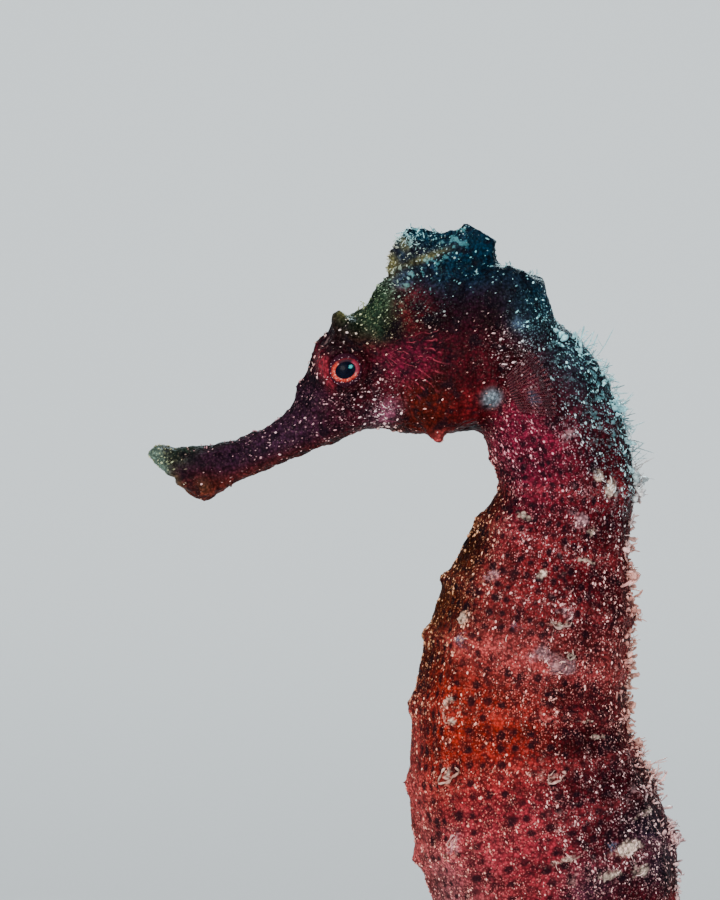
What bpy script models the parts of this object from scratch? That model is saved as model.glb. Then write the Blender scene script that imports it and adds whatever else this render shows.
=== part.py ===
"""A longsnout seahorse at life size, held upright by a small display stand.

Run it with: blender --background --python part.py

Units are metres, with +Z up. The animal faces -X, its left side faces -Y, and its plane of symmetry is Y = 0.
The origin is the centre of the underside of the stand's base. The body is worked out in millimetres from the
hip, which is where the trunk ends and the tail begins, and is turned into metres as each mesh is made.
"""

import math

import bmesh
import bpy
import numpy as np
from mathutils import Matrix, Vector

MM = 0.001
GAP_MM = 0.3  # clearance that every piece keeps to its neighbours

# The stand, which carries the lowest bend of the tail.
BASE_RADIUS_MM = 30.0
BASE_THICKNESS_MM = 6.0
BASE_BEVEL_MM = 1.2
ROD_RADIUS_MM = 1.25
CRADLE_CLEARANCE_MM = 16.0  # from the base's top to the underside of the tail
CRADLE_WALL_MM = 1.0
CRADLE_TURN_MM = 7.0  # length of the cradle along the tail

# The axis of the neck and trunk, as (forward-back, height) from the hip, from inside the head to the hip.
TRUNK_AXIS_MM = (
    (-8.6, 58.4),
    (-5.0, 52.4),
    (-3.1, 45.6),
    (-4.95, 38.0),
    (-6.95, 27.0),
    (-6.35, 19.0),
    (-3.6, 10.4),
    (-1.9, 4.4),
    (0.0, 0.0),
)
TAIL_LENGTH_MM = 91.0
TAIL_BEND_AT_HIP = 0.014  # curvature of the tail in radians per millimetre
TAIL_BEND_AT_TIP = 0.284
TAIL_BEND_POWER = 2.5

# Half depth and half width of the body at distances along its axis, from inside the head to the tail's tip.
GIRTH_MM = (
    (0.0, 4.8, 3.6),
    (7.0, 6.1, 4.5),
    (14.5, 6.0, 4.5),
    (25.0, 8.55, 5.9),
    (37.0, 9.8, 6.7),
    (44.0, 10.9, 7.1),
    (49.0, 11.0, 6.9),
    (55.0, 9.3, 6.1),
    (60.5, 6.2, 5.0),
    (66.0, 4.7, 4.3),
    (78.0, 4.0, 3.7),
    (105.0, 2.8, 2.6),
    (130.0, 1.7, 1.6),
    (152.0, 0.75, 0.7),
)

# Bony rings and ridges.
NECK_START_MM = 6.5  # where the first trunk ring begins, measured along the axis
TRUNK_RINGS = 11
TAIL_RING_LENGTHS_MM = (3.9, 1.6)  # the first and the last
TRUNK_RIDGES_DEG = (0, 46, 100, 143)  # from the belly, on each side
TAIL_RIDGES_DEG = (45, 135)
RIDGE_WIDTH_DEG = 15
RING_HEIGHT = 0.045  # of the half depth
RING_CREST = 0.55  # where in its ring the crest stands
KEEL_TAPER = 0.13  # how much narrower the trunk is towards the belly

# The first and last ring of each length of the trunk, cut in the furrows between crests.
TRUNK_CUTS = {
    "neck": (0.0, 2.05),
    "trunk_upper": (2.05, 5.05),
    "trunk_middle": (5.05, 8.05),
    "trunk_lower": (8.05, 11.0),
}
TAIL_PIECES = 6
TRUNK_SIDES = 20
TAIL_SIDES = 12

# The head's own frame: forward along the snout, left, and up, from a point on the snout's axis under the eye.
HEAD_PLACE_MM = (-21.4, 52.7)
HEAD_PITCH = math.radians(20.6)

# Sections of the snout and skull from the mouth back:
# (forward, top, bottom, half width, narrowing to the top, lean of the section towards the upper lip).
SKULL_MM = (
    (17.5, 2.4, -2.2, 1.2, 0.0, 0.42),
    (17.1, 3.1, -3.0, 1.9, 0.0, 0.42),
    (15.6, 2.5, -3.15, 2.15, 0.0, 0.34),
    (13.6, 1.6, -2.8, 1.95, 0.0, 0.15),
    (11.0, 1.3, -2.65, 1.65, 0.0, 0.0),
    (8.3, 1.45, -2.5, 1.6, 0.0, 0.0),
    (6.0, 2.0, -2.5, 1.75, 0.05, 0.0),
    (4.2, 3.9, -2.45, 2.2, 0.2, 0.0),
    (2.2, 5.9, -2.3, 2.8, 0.25, 0.0),
    (-0.5, 8.0, -2.3, 3.3, 0.3, 0.0),
    (-3.0, 8.1, -3.9, 3.8, 0.3, 0.0),
    (-6.0, 9.3, -5.1, 4.2, 0.3, 0.0),
    (-9.0, 9.6, -5.7, 4.5, 0.3, 0.0),
    (-12.0, 9.0, -5.7, 4.6, 0.28, 0.0),
    (-15.0, 7.8, -4.4, 4.5, 0.25, 0.0),
    (-17.3, 6.4, -1.5, 4.1, 0.2, 0.0),
    (-18.9, 4.6, 1.0, 2.6, 0.1, 0.0),
)
SKULL_SIDES = 24
SKULL_VOXEL_MM = 0.35
SKULL_TRIANGLES_KEPT = 0.066
SNOUT_CUT_MM = 5.3  # where the snout meets the head
JAW_HINGE_MM = (14.2, -0.9)  # forward and up, where the lower jaw's upper edge ends
JAW_GAPE_MM = (18.6, 0.1)

EYE_MM = (0.0, 3.0, 3.55)  # forward, left, up
EYE_RADIUS_MM = 1.75
ORBIT_RADIUS_MM = 2.85
GILL_COVER_MM = (-8.3, 3.0, -0.9)
GILL_COVER_RADII_MM = (4.7, 2.1, 4.1)
GILL_COVER_EDGE_MM = 3.75  # how far to the side the cover is parted from the head

CORONET_MM = (-11.4, 0.0, 8.6)  # middle of its foot
CORONET_LOBES = 5
# Rings of the coronet from its foot over the rim into the cup:
# (height, half length, half width, depth of the lobes).
CORONET_RINGS_MM = (
    (-1.4, 4.8, 2.4, 0.0),
    (0.6, 4.7, 2.4, 0.03),
    (1.8, 4.6, 2.6, 0.06),
    (2.9, 4.8, 3.0, 0.1),
    (3.4, 4.7, 2.9, 0.12),
    (3.1, 4.0, 2.3, 0.1),
    (2.3, 2.4, 1.2, 0.05),
)
CORONET_SIDES = 25
CORONET_TILT = HEAD_PITCH

FIN_THICKNESS_MM = 0.5
DORSAL_FIN_RINGS = (9.9, 12.6)
DORSAL_FIN_MM = 8.5
ANAL_FIN_RINGS = (10.75, 11.2)
ANAL_FIN_MM = 2.6
PECTORAL_FIN_MM = 4.2
PECTORAL_BASE_MM = 3.4
PECTORAL_PLACE_MM = (-12.7, 4.5, -3.5)  # middle of the fin's base in the head's frame

COLOURS = {
    "flesh": ((0.20, 0.025, 0.03), 0.5, 0.0),
    "crown": ((0.07, 0.04, 0.06), 0.55, 0.0),
    "snout": ((0.10, 0.02, 0.03), 0.45, 0.0),
    "eye": ((0.02, 0.02, 0.05), 0.08, 0.0),
    "fin": ((0.42, 0.16, 0.14), 0.3, 0.0),
    "stand": ((0.03, 0.03, 0.035), 0.25, 0.0),
    "metal": ((0.62, 0.55, 0.42), 0.3, 1.0),
}


def smooth_curve(places, values):
    """A smooth function through the given points that never overshoots them."""
    places, values = np.array(places, float), np.array(values, float)
    steps = np.diff(places)
    slopes = np.diff(values) / steps
    tangents = np.concatenate([slopes[:1], np.zeros(len(slopes) - 1), slopes[-1:]])
    for i in range(1, len(slopes)):
        if slopes[i - 1] * slopes[i] > 0:
            near, far = 2 * steps[i] + steps[i - 1], steps[i] + 2 * steps[i - 1]
            tangents[i] = (near + far) / (near / slopes[i - 1] + far / slopes[i])

    def value_at(x):
        i = int(np.clip(np.searchsorted(places, x) - 1, 0, len(steps) - 1))
        t = float(np.clip((x - places[i]) / steps[i], 0.0, 1.0))
        start, end = values[i], values[i + 1]
        lean_in, lean_out = tangents[i] * steps[i], tangents[i + 1] * steps[i]
        return (
            start * (1 + 2 * t) * (1 - t) ** 2
            + lean_in * t * (1 - t) ** 2
            + end * t * t * (3 - 2 * t)
            + lean_out * t * t * (t - 1)
        )

    return value_at


def spline_points(knots, steps=40):
    """Points along a Catmull-Rom spline through the knots."""
    knots = np.array(knots, float)
    knots = np.vstack([2 * knots[0] - knots[1], knots, 2 * knots[-1] - knots[-2]])
    found = []
    for before, start, end, after in zip(knots, knots[1:], knots[2:], knots[3:]):
        for t in np.arange(steps) / steps:
            found.append(
                0.5
                * (
                    2 * start
                    + (end - before) * t
                    + (2 * before - 5 * start + 4 * end - after) * t**2
                    + (3 * start - before - 3 * end + after) * t**3
                )
            )
    return np.array(found + [knots[-2]])


class BodyAxis:
    """The line down the middle of the body, in the plane Y = 0, from inside the head to the tail's tip."""

    def __init__(self):
        trunk = spline_points(TRUNK_AXIS_MM)
        trunk_lengths = np.concatenate([[0], np.cumsum(np.linalg.norm(np.diff(trunk, axis=0), axis=1))])
        self.hip = float(trunk_lengths[-1])
        last = trunk[-1] - trunk[-2]
        heading = math.atan2(last[0], -last[1])  # from straight down towards the back
        step = TAIL_LENGTH_MM / 400
        tail = [trunk[-1]]
        for along in (np.arange(400) + 0.5) * step:
            bend = TAIL_BEND_AT_HIP + TAIL_BEND_AT_TIP * (along / TAIL_LENGTH_MM) ** TAIL_BEND_POWER
            heading -= bend * step
            tail.append(tail[-1] + step * np.array([math.sin(heading), -math.cos(heading)]))
        self.points = np.vstack([trunk, tail[1:]])
        self.lengths = np.concatenate([trunk_lengths, self.hip + step * np.arange(1, 401)])
        self.tip = float(self.lengths[-1])
        near_rings = np.linspace(0, self.tip, 3000)
        self._places, self._rings = near_rings, np.array([self.rings_before(s) for s in near_rings])

    def place(self, along):
        return np.array([np.interp(along, self.lengths, self.points[:, i]) for i in (0, 1)])

    def frame(self, along):
        """(place, direction towards the tail, direction towards the belly) as 3D vectors."""
        reach = 0.4
        ahead = self.place(min(along + reach, self.tip)) - self.place(max(along - reach, 0.0))
        x, z = ahead / np.linalg.norm(ahead)
        centre = self.place(along)
        return Vector((centre[0], 0, centre[1])), Vector((x, 0, z)), Vector((z, 0, -x))

    def rings_before(self, along):
        """How many bony rings lie ahead of this place, fractions included."""
        if along < self.hip:
            return TRUNK_RINGS * (along - NECK_START_MM) / (self.hip - NECK_START_MM)
        first, last = TAIL_RING_LENGTHS_MM
        change = (last - first) / TAIL_LENGTH_MM
        return TRUNK_RINGS + math.log(1 + change * (along - self.hip) / first) / change

    def at_ring(self, ring):
        return float(np.interp(ring, self._rings, self._places))


AXIS = BodyAxis()
HALF_DEPTH = smooth_curve([row[0] for row in GIRTH_MM], [row[1] for row in GIRTH_MM])
HALF_WIDTH = smooth_curve([row[0] for row in GIRTH_MM], [row[2] for row in GIRTH_MM])


def on_ridge(angle, ridges):
    """1 on a lengthwise ridge, falling to 0 between the ridges."""
    away = min(abs(abs(math.degrees(angle)) - ridge) for ridge in ridges)
    return math.exp(-((away / RIDGE_WIDTH_DEG) ** 2))


def body_point(along, angle, rise=0.0):
    """A point on the body's surface. The angle is measured round the axis, from the belly."""
    centre, _, belly = AXIS.frame(along)
    depth, width = HALF_DEPTH(along), HALF_WIDTH(along)
    in_tail = min(max((along - AXIS.hip) / 8.0 + 0.5, 0.0), 1.0)
    ridge = (1 - in_tail) * on_ridge(angle, TRUNK_RIDGES_DEG) + in_tail * on_ridge(angle, TAIL_RIDGES_DEG)
    ring = (0.5 + 0.5 * math.cos(2 * math.pi * (AXIS.rings_before(along) - RING_CREST))) ** 2
    past_head = min(max((along - NECK_START_MM) / 4.0, 0.0), 1.0)
    bump = RING_HEIGHT * past_head * (ridge + ring * (0.35 + 1.2 * ridge))
    squareness = 2.0 + 0.7 * in_tail
    cosine, sine = math.cos(angle), math.sin(angle)
    reach = (abs(cosine) ** squareness + abs(sine) ** squareness) ** (-1 / squareness)
    taper = 1 - KEEL_TAPER * (1 - in_tail) * past_head * cosine
    out = reach * (1 + bump)
    deep, wide = (out * depth + rise) * cosine, (out * width * taper + rise) * sine
    return centre + belly * deep + Vector((0, -1, 0)) * wide


def to_metres():
    """Moves a shape that is worked out in millimetres from the hip to its place in metres."""
    lowest = min(AXIS.points[:, 1] - np.array([HALF_DEPTH(s) for s in AXIS.lengths]))
    tail_bottom_x = AXIS.points[np.argmin(AXIS.points[:, 1]), 0]
    lift = BASE_THICKNESS_MM + CRADLE_CLEARANCE_MM - lowest
    centre_x = -0.5 * tail_bottom_x
    return Matrix.Scale(MM, 4) @ Matrix.Translation((centre_x, 0, lift))


def head_frame():
    """The matrix from the head's frame to the body's: forward, left and up become world directions."""
    forward = Vector((-math.cos(HEAD_PITCH), 0, -math.sin(HEAD_PITCH)))
    up = Vector((-math.sin(HEAD_PITCH), 0, math.cos(HEAD_PITCH)))
    left = Vector((0, -1, 0))
    turn = Matrix((forward, left, up)).transposed().to_4x4()
    return Matrix.Translation((HEAD_PLACE_MM[0], 0, HEAD_PLACE_MM[1])) @ turn


BODY_TO_WORLD = to_metres()
HEAD_TO_WORLD = BODY_TO_WORLD @ head_frame()


def collection_named(name):
    found = bpy.data.collections.new(name)
    bpy.context.scene.collection.children.link(found)
    return found


def material_named(name):
    found = bpy.data.materials.get(name)
    if found:
        return found
    colour, roughness, metallic = COLOURS[name]
    found = bpy.data.materials.new(name)
    found.use_nodes = True
    shader = found.node_tree.nodes["Principled BSDF"]
    shader.inputs["Base Color"].default_value = (*colour, 1)
    shader.inputs["Roughness"].default_value = roughness
    shader.inputs["Metallic"].default_value = metallic
    return found


def object_from(name, shape, to_world, finish=None):
    """Makes an object of a bmesh. A piece has a finish, and a cutter has none and isn't shown."""
    shape.transform(to_world)
    bmesh.ops.recalc_face_normals(shape, faces=shape.faces)
    mesh = bpy.data.meshes.new(name)
    shape.to_mesh(mesh)
    shape.free()
    made = bpy.data.objects.new(name, mesh)
    if finish:
        mesh.materials.append(material_named(finish))
        PIECES.objects.link(made)
    else:
        made.hide_render = True
        made.display_type = "WIRE"
        CUTTERS.objects.link(made)
    return made


def settle(made):
    """Turns an object's modifiers into its own mesh."""
    bpy.context.view_layer.update()
    graph = bpy.context.evaluated_depsgraph_get()
    mesh = bpy.data.meshes.new_from_object(made.evaluated_get(graph))
    made.modifiers.clear()
    made.data = mesh
    return made


def boolean(made, other, operation):
    step = made.modifiers.new(operation.lower(), "BOOLEAN")
    step.operation = operation
    step.object = other
    step.solver = "EXACT"
    step.use_self = True
    return settle(made)


def grown(made, by_mm=GAP_MM):
    """A hidden copy of an object with its surface moved outwards, to cut a clearance with."""
    mesh = made.data.copy()
    copy = bpy.data.objects.new(made.name + "_clearance", mesh)
    copy.hide_render = True
    copy.display_type = "WIRE"
    CUTTERS.objects.link(copy)
    step = copy.modifiers.new("grow", "DISPLACE")
    step.strength = by_mm * MM
    step.mid_level = 0.0
    return settle(copy)


def copy_of(made, name, finish):
    copy = bpy.data.objects.new(name, made.data.copy())
    copy.data.materials.clear()
    copy.data.materials.append(material_named(finish))
    PIECES.objects.link(copy)
    return copy


def loft(sections, cap_start=True, cap_end=True):
    """A closed skin over loops of points, each loop with the same number of points."""
    shape = bmesh.new()
    loops = [[shape.verts.new(point) for point in section] for section in sections]
    for near, far in zip(loops, loops[1:]):
        for i in range(len(near)):
            j = (i + 1) % len(near)
            shape.faces.new((near[i], near[j], far[j], far[i]))
    if cap_start:
        shape.faces.new(loops[0][::-1])
    if cap_end:
        shape.faces.new(loops[-1])
    return shape


def angles(count):
    return [2 * math.pi * i / count - math.pi for i in range(count)]


def body_length(name, start, end, stations, sides):
    """A length of the neck, trunk or tail between two places on the axis, with half a gap at each end."""
    places = [start + GAP_MM / 2] + [s for s in stations if start + 0.5 < s < end - 0.5] + [end - GAP_MM / 2]
    sections = [[body_point(s, a) for a in angles(sides)] for s in places]
    return object_from(name, loft(sections), BODY_TO_WORLD, "flesh")


def make_trunk():
    """The neck and the three lengths of the trunk, with four loops of the mesh to each ring."""
    stations = [AXIS.at_ring(r) for r in np.arange(RING_CREST - 0.5, TRUNK_RINGS + 0.25, 0.25)]
    made = {}
    for name, (first, last) in TRUNK_CUTS.items():
        start = AXIS.at_ring(first) if first else 0.0
        made[name] = body_length(name, start, AXIS.at_ring(last), stations, TRUNK_SIDES)
    return made


def make_tail():
    """The tail in lengths that hold the same number of rings, and so grow shorter towards the tip."""
    tip_ring = AXIS.rings_before(AXIS.tip)
    stations = [AXIS.at_ring(r) for r in np.arange(TRUNK_RINGS + RING_CREST - 0.5, tip_ring, 0.5)]
    cuts = np.linspace(TRUNK_RINGS, tip_ring, TAIL_PIECES + 1)
    made = {}
    for i, (first, last) in enumerate(zip(cuts, cuts[1:]), start=1):
        name = f"tail_{i}"
        made[name] = body_length(name, AXIS.at_ring(first), AXIS.at_ring(last), stations, TAIL_SIDES)
    return made


def ellipsoid(shape, centre, radii, rings=12):
    """Adds a closed ellipsoid to a bmesh."""
    place = Matrix.Translation(centre) @ Matrix.Diagonal((*radii, 1))
    bmesh.ops.create_uvsphere(shape, u_segments=2 * rings, v_segments=rings, radius=1, matrix=place)


def blunt_spine(shape, centre, direction, length, radius):
    """Adds a short blunt cone, the form of this species' low spines."""
    turn = Vector((0, 0, 1)).rotation_difference(Vector(direction)).to_matrix().to_4x4()
    place = Matrix.Translation(centre) @ turn @ Matrix.Translation((0, 0, length / 2))
    bmesh.ops.create_cone(
        shape, cap_ends=True, segments=12, radius1=radius, radius2=0.35 * radius, depth=length, matrix=place
    )


def skull_section(forward, top, bottom, half_width, narrowing, lean):
    """One loop of the skull or snout, whose upper half is drawn in and which leans forwards."""
    middle, half_height = (top + bottom) / 2, (top - bottom) / 2
    loop = []
    for a in angles(SKULL_SIDES):
        up = -math.cos(a)
        side = math.sin(a) * half_width * (1 - narrowing * up)
        height = middle + half_height * up
        loop.append((forward + lean * height, side, height))
    return loop


def make_whole_head():
    """Snout, skull, orbits, gill covers and spines in one blended mesh."""
    shape = loft([skull_section(*row) for row in SKULL_MM])
    for side in (-1, 1):
        forward, left, up = EYE_MM
        ellipsoid(shape, (forward, side * (left - 0.9), up), (ORBIT_RADIUS_MM,) * 3)
        blunt_spine(shape, (-1.2, side * 1.9, 6.6), (0.1, side * 0.35, 1), 2.15, 1.5)
        ellipsoid(shape, (GILL_COVER_MM[0], side * GILL_COVER_MM[1], GILL_COVER_MM[2]), GILL_COVER_RADII_MM)
        blunt_spine(shape, (-5.6, side * 2.6, -4.2), (0, side * 0.5, -1), 1.5, 1.25)
        ellipsoid(shape, (-14.6, side * 2.2, 4.6), (3.6, 2.4, 3.2))
    blunt_spine(shape, (4.0, 0, 2.8), (0.5, 0, 1), 1.5, 0.9)
    whole = object_from("whole_head", shape, HEAD_TO_WORLD)
    blend = whole.modifiers.new("blend", "REMESH")
    blend.mode = "VOXEL"
    blend.voxel_size = SKULL_VOXEL_MM * MM
    smooth = whole.modifiers.new("smooth", "SMOOTH")
    smooth.factor = 0.5
    smooth.iterations = 5
    thin_out = whole.modifiers.new("thin_out", "DECIMATE")
    thin_out.ratio = SKULL_TRIANGLES_KEPT
    return settle(whole)


def box_cutter(name, low, high, to_world):
    shape = bmesh.new()
    size = [h - l for l, h in zip(low, high)]
    middle = [(h + l) / 2 for l, h in zip(low, high)]
    bmesh.ops.create_cube(shape, size=1, matrix=Matrix.Translation(middle) @ Matrix.Diagonal((*size, 1)))
    return object_from(name, shape, to_world)


def jaw_cutter(name, grow):
    """The wedge at the tip of the snout that holds the lower jaw."""
    hinge, gape = Vector(JAW_HINGE_MM), Vector(JAW_GAPE_MM)
    lean = math.atan2(gape.y - hinge.y, gape.x - hinge.x)
    place = Matrix.Translation((hinge.x, 0, hinge.y)) @ Matrix.Rotation(-lean, 4, "Y")
    shape = bmesh.new()
    size = (12.0 + grow, 12.0, 6.0 + grow)
    middle = Matrix.Translation((6.0 - grow / 2, 0, -3.0 + grow / 2))
    bmesh.ops.create_cube(shape, size=1, matrix=place @ middle @ Matrix.Diagonal((*size, 1)))
    return object_from(name, shape, HEAD_TO_WORLD)


def gill_cutter(name, side, grow):
    """An oval plug through the side of the head that parts the gill cover from it."""
    shape = bmesh.new()
    forward, _, up = GILL_COVER_MM
    inner = GILL_COVER_EDGE_MM - grow
    radii = (GILL_COVER_RADII_MM[0] - 0.5 + grow, GILL_COVER_RADII_MM[2] - 0.5 + grow)
    turn = Matrix.Rotation(-side * math.pi / 2, 4, "X")
    place = Matrix.Translation((forward, side * (inner + 3), up)) @ turn @ Matrix.Diagonal((*radii, 1, 1))
    bmesh.ops.create_cone(shape, cap_ends=True, segments=28, radius1=1, radius2=1, depth=6, matrix=place)
    return object_from(name, shape, HEAD_TO_WORLD)


def make_head(whole):
    """Parts the whole head into snout, jaw, gill covers and head, and opens the eye sockets."""
    far = 60.0
    snout_end, head_start = SNOUT_CUT_MM + GAP_MM / 2, SNOUT_CUT_MM - GAP_MM / 2
    ahead = box_cutter("ahead_of_cut", (snout_end, -far, -far), (far, far, far), HEAD_TO_WORLD)
    behind = box_cutter("behind_cut", (-far, -far, -far), (head_start, far, far), HEAD_TO_WORLD)
    snout = boolean(copy_of(whole, "snout", "snout"), ahead, "INTERSECT")
    boolean(copy_of(snout, "lower_jaw", "flesh"), jaw_cutter("jaw_wedge", 0.0), "INTERSECT")
    boolean(snout, jaw_cutter("jaw_space", GAP_MM), "DIFFERENCE")
    head = boolean(copy_of(whole, "head", "flesh"), behind, "INTERSECT")
    for side_name, side in (("left", 1), ("right", -1)):
        cover = copy_of(head, f"gill_cover_{side_name}", "flesh")
        boolean(cover, gill_cutter(f"gill_plug_{side_name}", side, 0.0), "INTERSECT")
        boolean(head, gill_cutter(f"gill_space_{side_name}", side, GAP_MM), "DIFFERENCE")
        boolean(head, grown(make_eye(side_name, side)), "DIFFERENCE")


def make_eye(side_name, side):
    shape = bmesh.new()
    forward, left, up = EYE_MM
    ellipsoid(shape, (forward, side * left, up), (EYE_RADIUS_MM,) * 3, rings=8)
    return object_from(f"eye_{side_name}", shape, HEAD_TO_WORLD, "eye")


def make_coronet(head_space):
    """The low crown: a lobed cup, longer than wide, whose foot is cut to the top of the head."""
    sections = []
    for height, half_length, half_width, lobe in CORONET_RINGS_MM:
        loop = []
        for a in angles(CORONET_SIDES):
            out = 1 + lobe * math.cos(CORONET_LOBES * a)
            ahead, aside = half_length * out * math.cos(a), half_width * out * math.sin(a)
            loop.append((ahead, aside, height + 3 * lobe * (out - 1)))
        sections.append(loop)
    place = Matrix.Translation(CORONET_MM) @ Matrix.Rotation(-CORONET_TILT, 4, "Y")
    coronet = object_from("coronet", loft(sections), HEAD_TO_WORLD @ place, "crown")
    return boolean(coronet, head_space, "DIFFERENCE")


def fin_sheet(name, roots, tips, to_world, bulge=0.0):
    """A fin as a sheet of even thickness between a line of roots and a line of tips."""
    shape = bmesh.new()
    rows = []
    for i, (root, tip) in enumerate(zip(roots, tips)):
        across = math.sin(math.pi * i / (len(roots) - 1))
        bend = Vector((0, bulge * across, 0))
        rows.append([shape.verts.new(root.lerp(tip, t) + bend * t) for t in (0, 0.35, 0.7, 1.0)])
    for near, far in zip(rows, rows[1:]):
        for i in range(len(near) - 1):
            shape.faces.new((near[i], near[i + 1], far[i + 1], far[i]))
    made = object_from(name, shape, to_world, "fin")
    wall = made.modifiers.new("wall", "SOLIDIFY")
    wall.thickness = FIN_THICKNESS_MM * MM
    wall.offset = 0.0
    return settle(made)


def fan(count, start, end):
    """Evenly spread numbers with the share of the way through each."""
    return [(t, start + (end - start) * t) for t in np.linspace(0, 1, count)]


def make_dorsal_fin(body):
    """The fan on the back over the last trunk rings and the first tail ring."""
    roots, tips = [], []
    for t, ring in fan(13, *DORSAL_FIN_RINGS):
        along = AXIS.at_ring(ring)
        _, tailward, belly = AXIS.frame(along)
        root = body_point(along, math.pi, rise=-1.2)
        lean = -belly + tailward * (0.15 + 0.75 * t)
        length = DORSAL_FIN_MM * (0.72 + 0.28 * math.sin(math.pi * min(1.0, 0.25 + 0.8 * t)))
        roots.append(root)
        tips.append(root + lean.normalized() * length)
    fin = fin_sheet("dorsal_fin", roots, tips, BODY_TO_WORLD, bulge=0.5)
    for name in ("trunk_lower", "tail_1"):
        boolean(fin, grown(body[name]), "DIFFERENCE")
    return fin


def make_anal_fin(body):
    """The tiny fin under the end of the trunk."""
    roots, tips = [], []
    for t, ring in fan(5, *ANAL_FIN_RINGS):
        along = AXIS.at_ring(ring)
        _, tailward, belly = AXIS.frame(along)
        root = body_point(along, 0.0, rise=-0.9)
        roots.append(root)
        tips.append(root + (belly + tailward * (0.5 + 0.5 * t)).normalized() * (ANAL_FIN_MM + 0.9))
    fin = fin_sheet("anal_fin", roots, tips, BODY_TO_WORLD)
    for name in ("trunk_lower", "tail_1"):
        boolean(fin, grown(body[name]), "DIFFERENCE")
    return fin


def make_pectoral_fin(side_name, side, spaces):
    """The small fan behind a gill cover, lying back along the neck."""
    roots, tips = [], []
    forward, left, up = PECTORAL_PLACE_MM
    for t, spread in fan(9, -0.5, 0.5):
        root = Vector((forward - 0.6 * abs(spread), side * left, up + PECTORAL_BASE_MM * spread))
        lean = Vector((-1.0, side * 0.6, 1.15 * spread))
        length = PECTORAL_FIN_MM * (0.8 + 0.2 * math.sin(math.pi * t))
        roots.append(root)
        tips.append(root + lean.normalized() * length)
    fin = fin_sheet(f"pectoral_fin_{side_name}", roots, tips, HEAD_TO_WORLD, bulge=side * 0.3)
    for space in spaces:
        boolean(fin, space, "DIFFERENCE")
    return fin


def make_stand(body):
    """A round base, an upright rod and a cradle that follows the underside of the tail's lowest bend."""
    shape = bmesh.new()
    place = Matrix.Translation((0, 0, BASE_THICKNESS_MM / 2))
    bmesh.ops.create_cone(
        shape,
        cap_ends=True,
        segments=72,
        radius1=BASE_RADIUS_MM,
        radius2=BASE_RADIUS_MM,
        depth=BASE_THICKNESS_MM,
        matrix=place,
    )
    rim = [e for e in shape.edges if all(abs(v.co.z - BASE_THICKNESS_MM) < 0.01 for v in e.verts)]
    bmesh.ops.bevel(shape, geom=rim, offset=BASE_BEVEL_MM, segments=2, profile=0.5, affect="EDGES")
    object_from("stand_base", shape, Matrix.Scale(MM, 4), "stand")

    lowest = int(np.argmin(AXIS.points[:, 1]))
    along = float(AXIS.lengths[lowest])
    reach = HALF_DEPTH(along) + GAP_MM
    places = np.linspace(along - CRADLE_TURN_MM / 2, along + CRADLE_TURN_MM / 2, 7)
    sections = []
    for s in places:
        under = [body_point(s, a, rise=-0.3) for a in np.linspace(math.pi * 0.62, math.pi * 1.38, 9)]
        centre, _, belly = AXIS.frame(s)
        outer = [centre + (p - centre).normalized() * (reach + CRADLE_WALL_MM) for p in reversed(under)]
        sections.append(under + outer)
    cradle = object_from("stand_cradle", loft(sections), BODY_TO_WORLD, "metal")
    for piece in body.values():
        if piece.name.startswith("tail"):
            boolean(cradle, grown(piece), "DIFFERENCE")

    foot = BODY_TO_WORLD @ AXIS.frame(along)[0] / MM
    top = foot.z - reach - CRADLE_WALL_MM / 2
    shape = bmesh.new()
    low = BASE_THICKNESS_MM + GAP_MM
    place = Matrix.Translation((foot.x, 0, (low + top) / 2))
    bmesh.ops.create_cone(
        shape,
        cap_ends=True,
        segments=24,
        radius1=ROD_RADIUS_MM,
        radius2=ROD_RADIUS_MM,
        depth=top - low,
        matrix=place,
    )
    rod = object_from("stand_rod", shape, Matrix.Scale(MM, 4), "metal")
    boolean(rod, grown(cradle), "DIFFERENCE")


for old in list(bpy.data.objects):
    bpy.data.objects.remove(old)
PIECES = collection_named("seahorse")
CUTTERS = collection_named("cutters")

BODY = {**make_trunk(), **make_tail()}
NECK_SPACE = grown(BODY["neck"])
WHOLE_HEAD = make_whole_head()
HEAD_SPACE = grown(WHOLE_HEAD)
make_head(WHOLE_HEAD)
boolean(BODY["neck"], HEAD_SPACE, "DIFFERENCE")
make_coronet(HEAD_SPACE)
make_dorsal_fin(BODY)
make_anal_fin(BODY)
for SIDE_NAME, SIDE in (("left", 1), ("right", -1)):
    make_pectoral_fin(SIDE_NAME, SIDE, (NECK_SPACE, HEAD_SPACE))
make_stand(BODY)
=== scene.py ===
# %% [markdown]
# # A longsnout seahorse at life size
# This lesson dresses the plain solids of a seahorse in one granular skin, with real eyes, rayed fins, thousands of
# skin grains and small skin fringes, and leaves it on its display stand.
#
# The solids are loaded first and never moved. Every size below is in millimetres unless it says otherwise, because
# the animal is only as long as a finger, and `MM` turns it into Blender's metres.

import math

import bmesh
import bpy
import numpy as np
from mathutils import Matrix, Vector


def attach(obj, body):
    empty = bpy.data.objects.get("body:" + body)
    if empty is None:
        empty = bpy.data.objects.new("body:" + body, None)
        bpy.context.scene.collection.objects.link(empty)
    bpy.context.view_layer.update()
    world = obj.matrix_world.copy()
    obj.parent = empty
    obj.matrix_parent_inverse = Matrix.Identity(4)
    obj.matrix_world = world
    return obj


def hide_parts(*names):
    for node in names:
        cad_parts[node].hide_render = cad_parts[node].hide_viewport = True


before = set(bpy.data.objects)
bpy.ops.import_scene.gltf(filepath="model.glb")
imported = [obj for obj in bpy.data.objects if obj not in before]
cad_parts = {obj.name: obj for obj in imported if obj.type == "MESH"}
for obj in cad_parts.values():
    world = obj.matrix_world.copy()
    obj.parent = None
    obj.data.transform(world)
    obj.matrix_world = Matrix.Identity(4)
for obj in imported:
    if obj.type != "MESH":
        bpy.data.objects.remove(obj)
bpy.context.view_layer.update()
MM = 0.001

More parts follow.
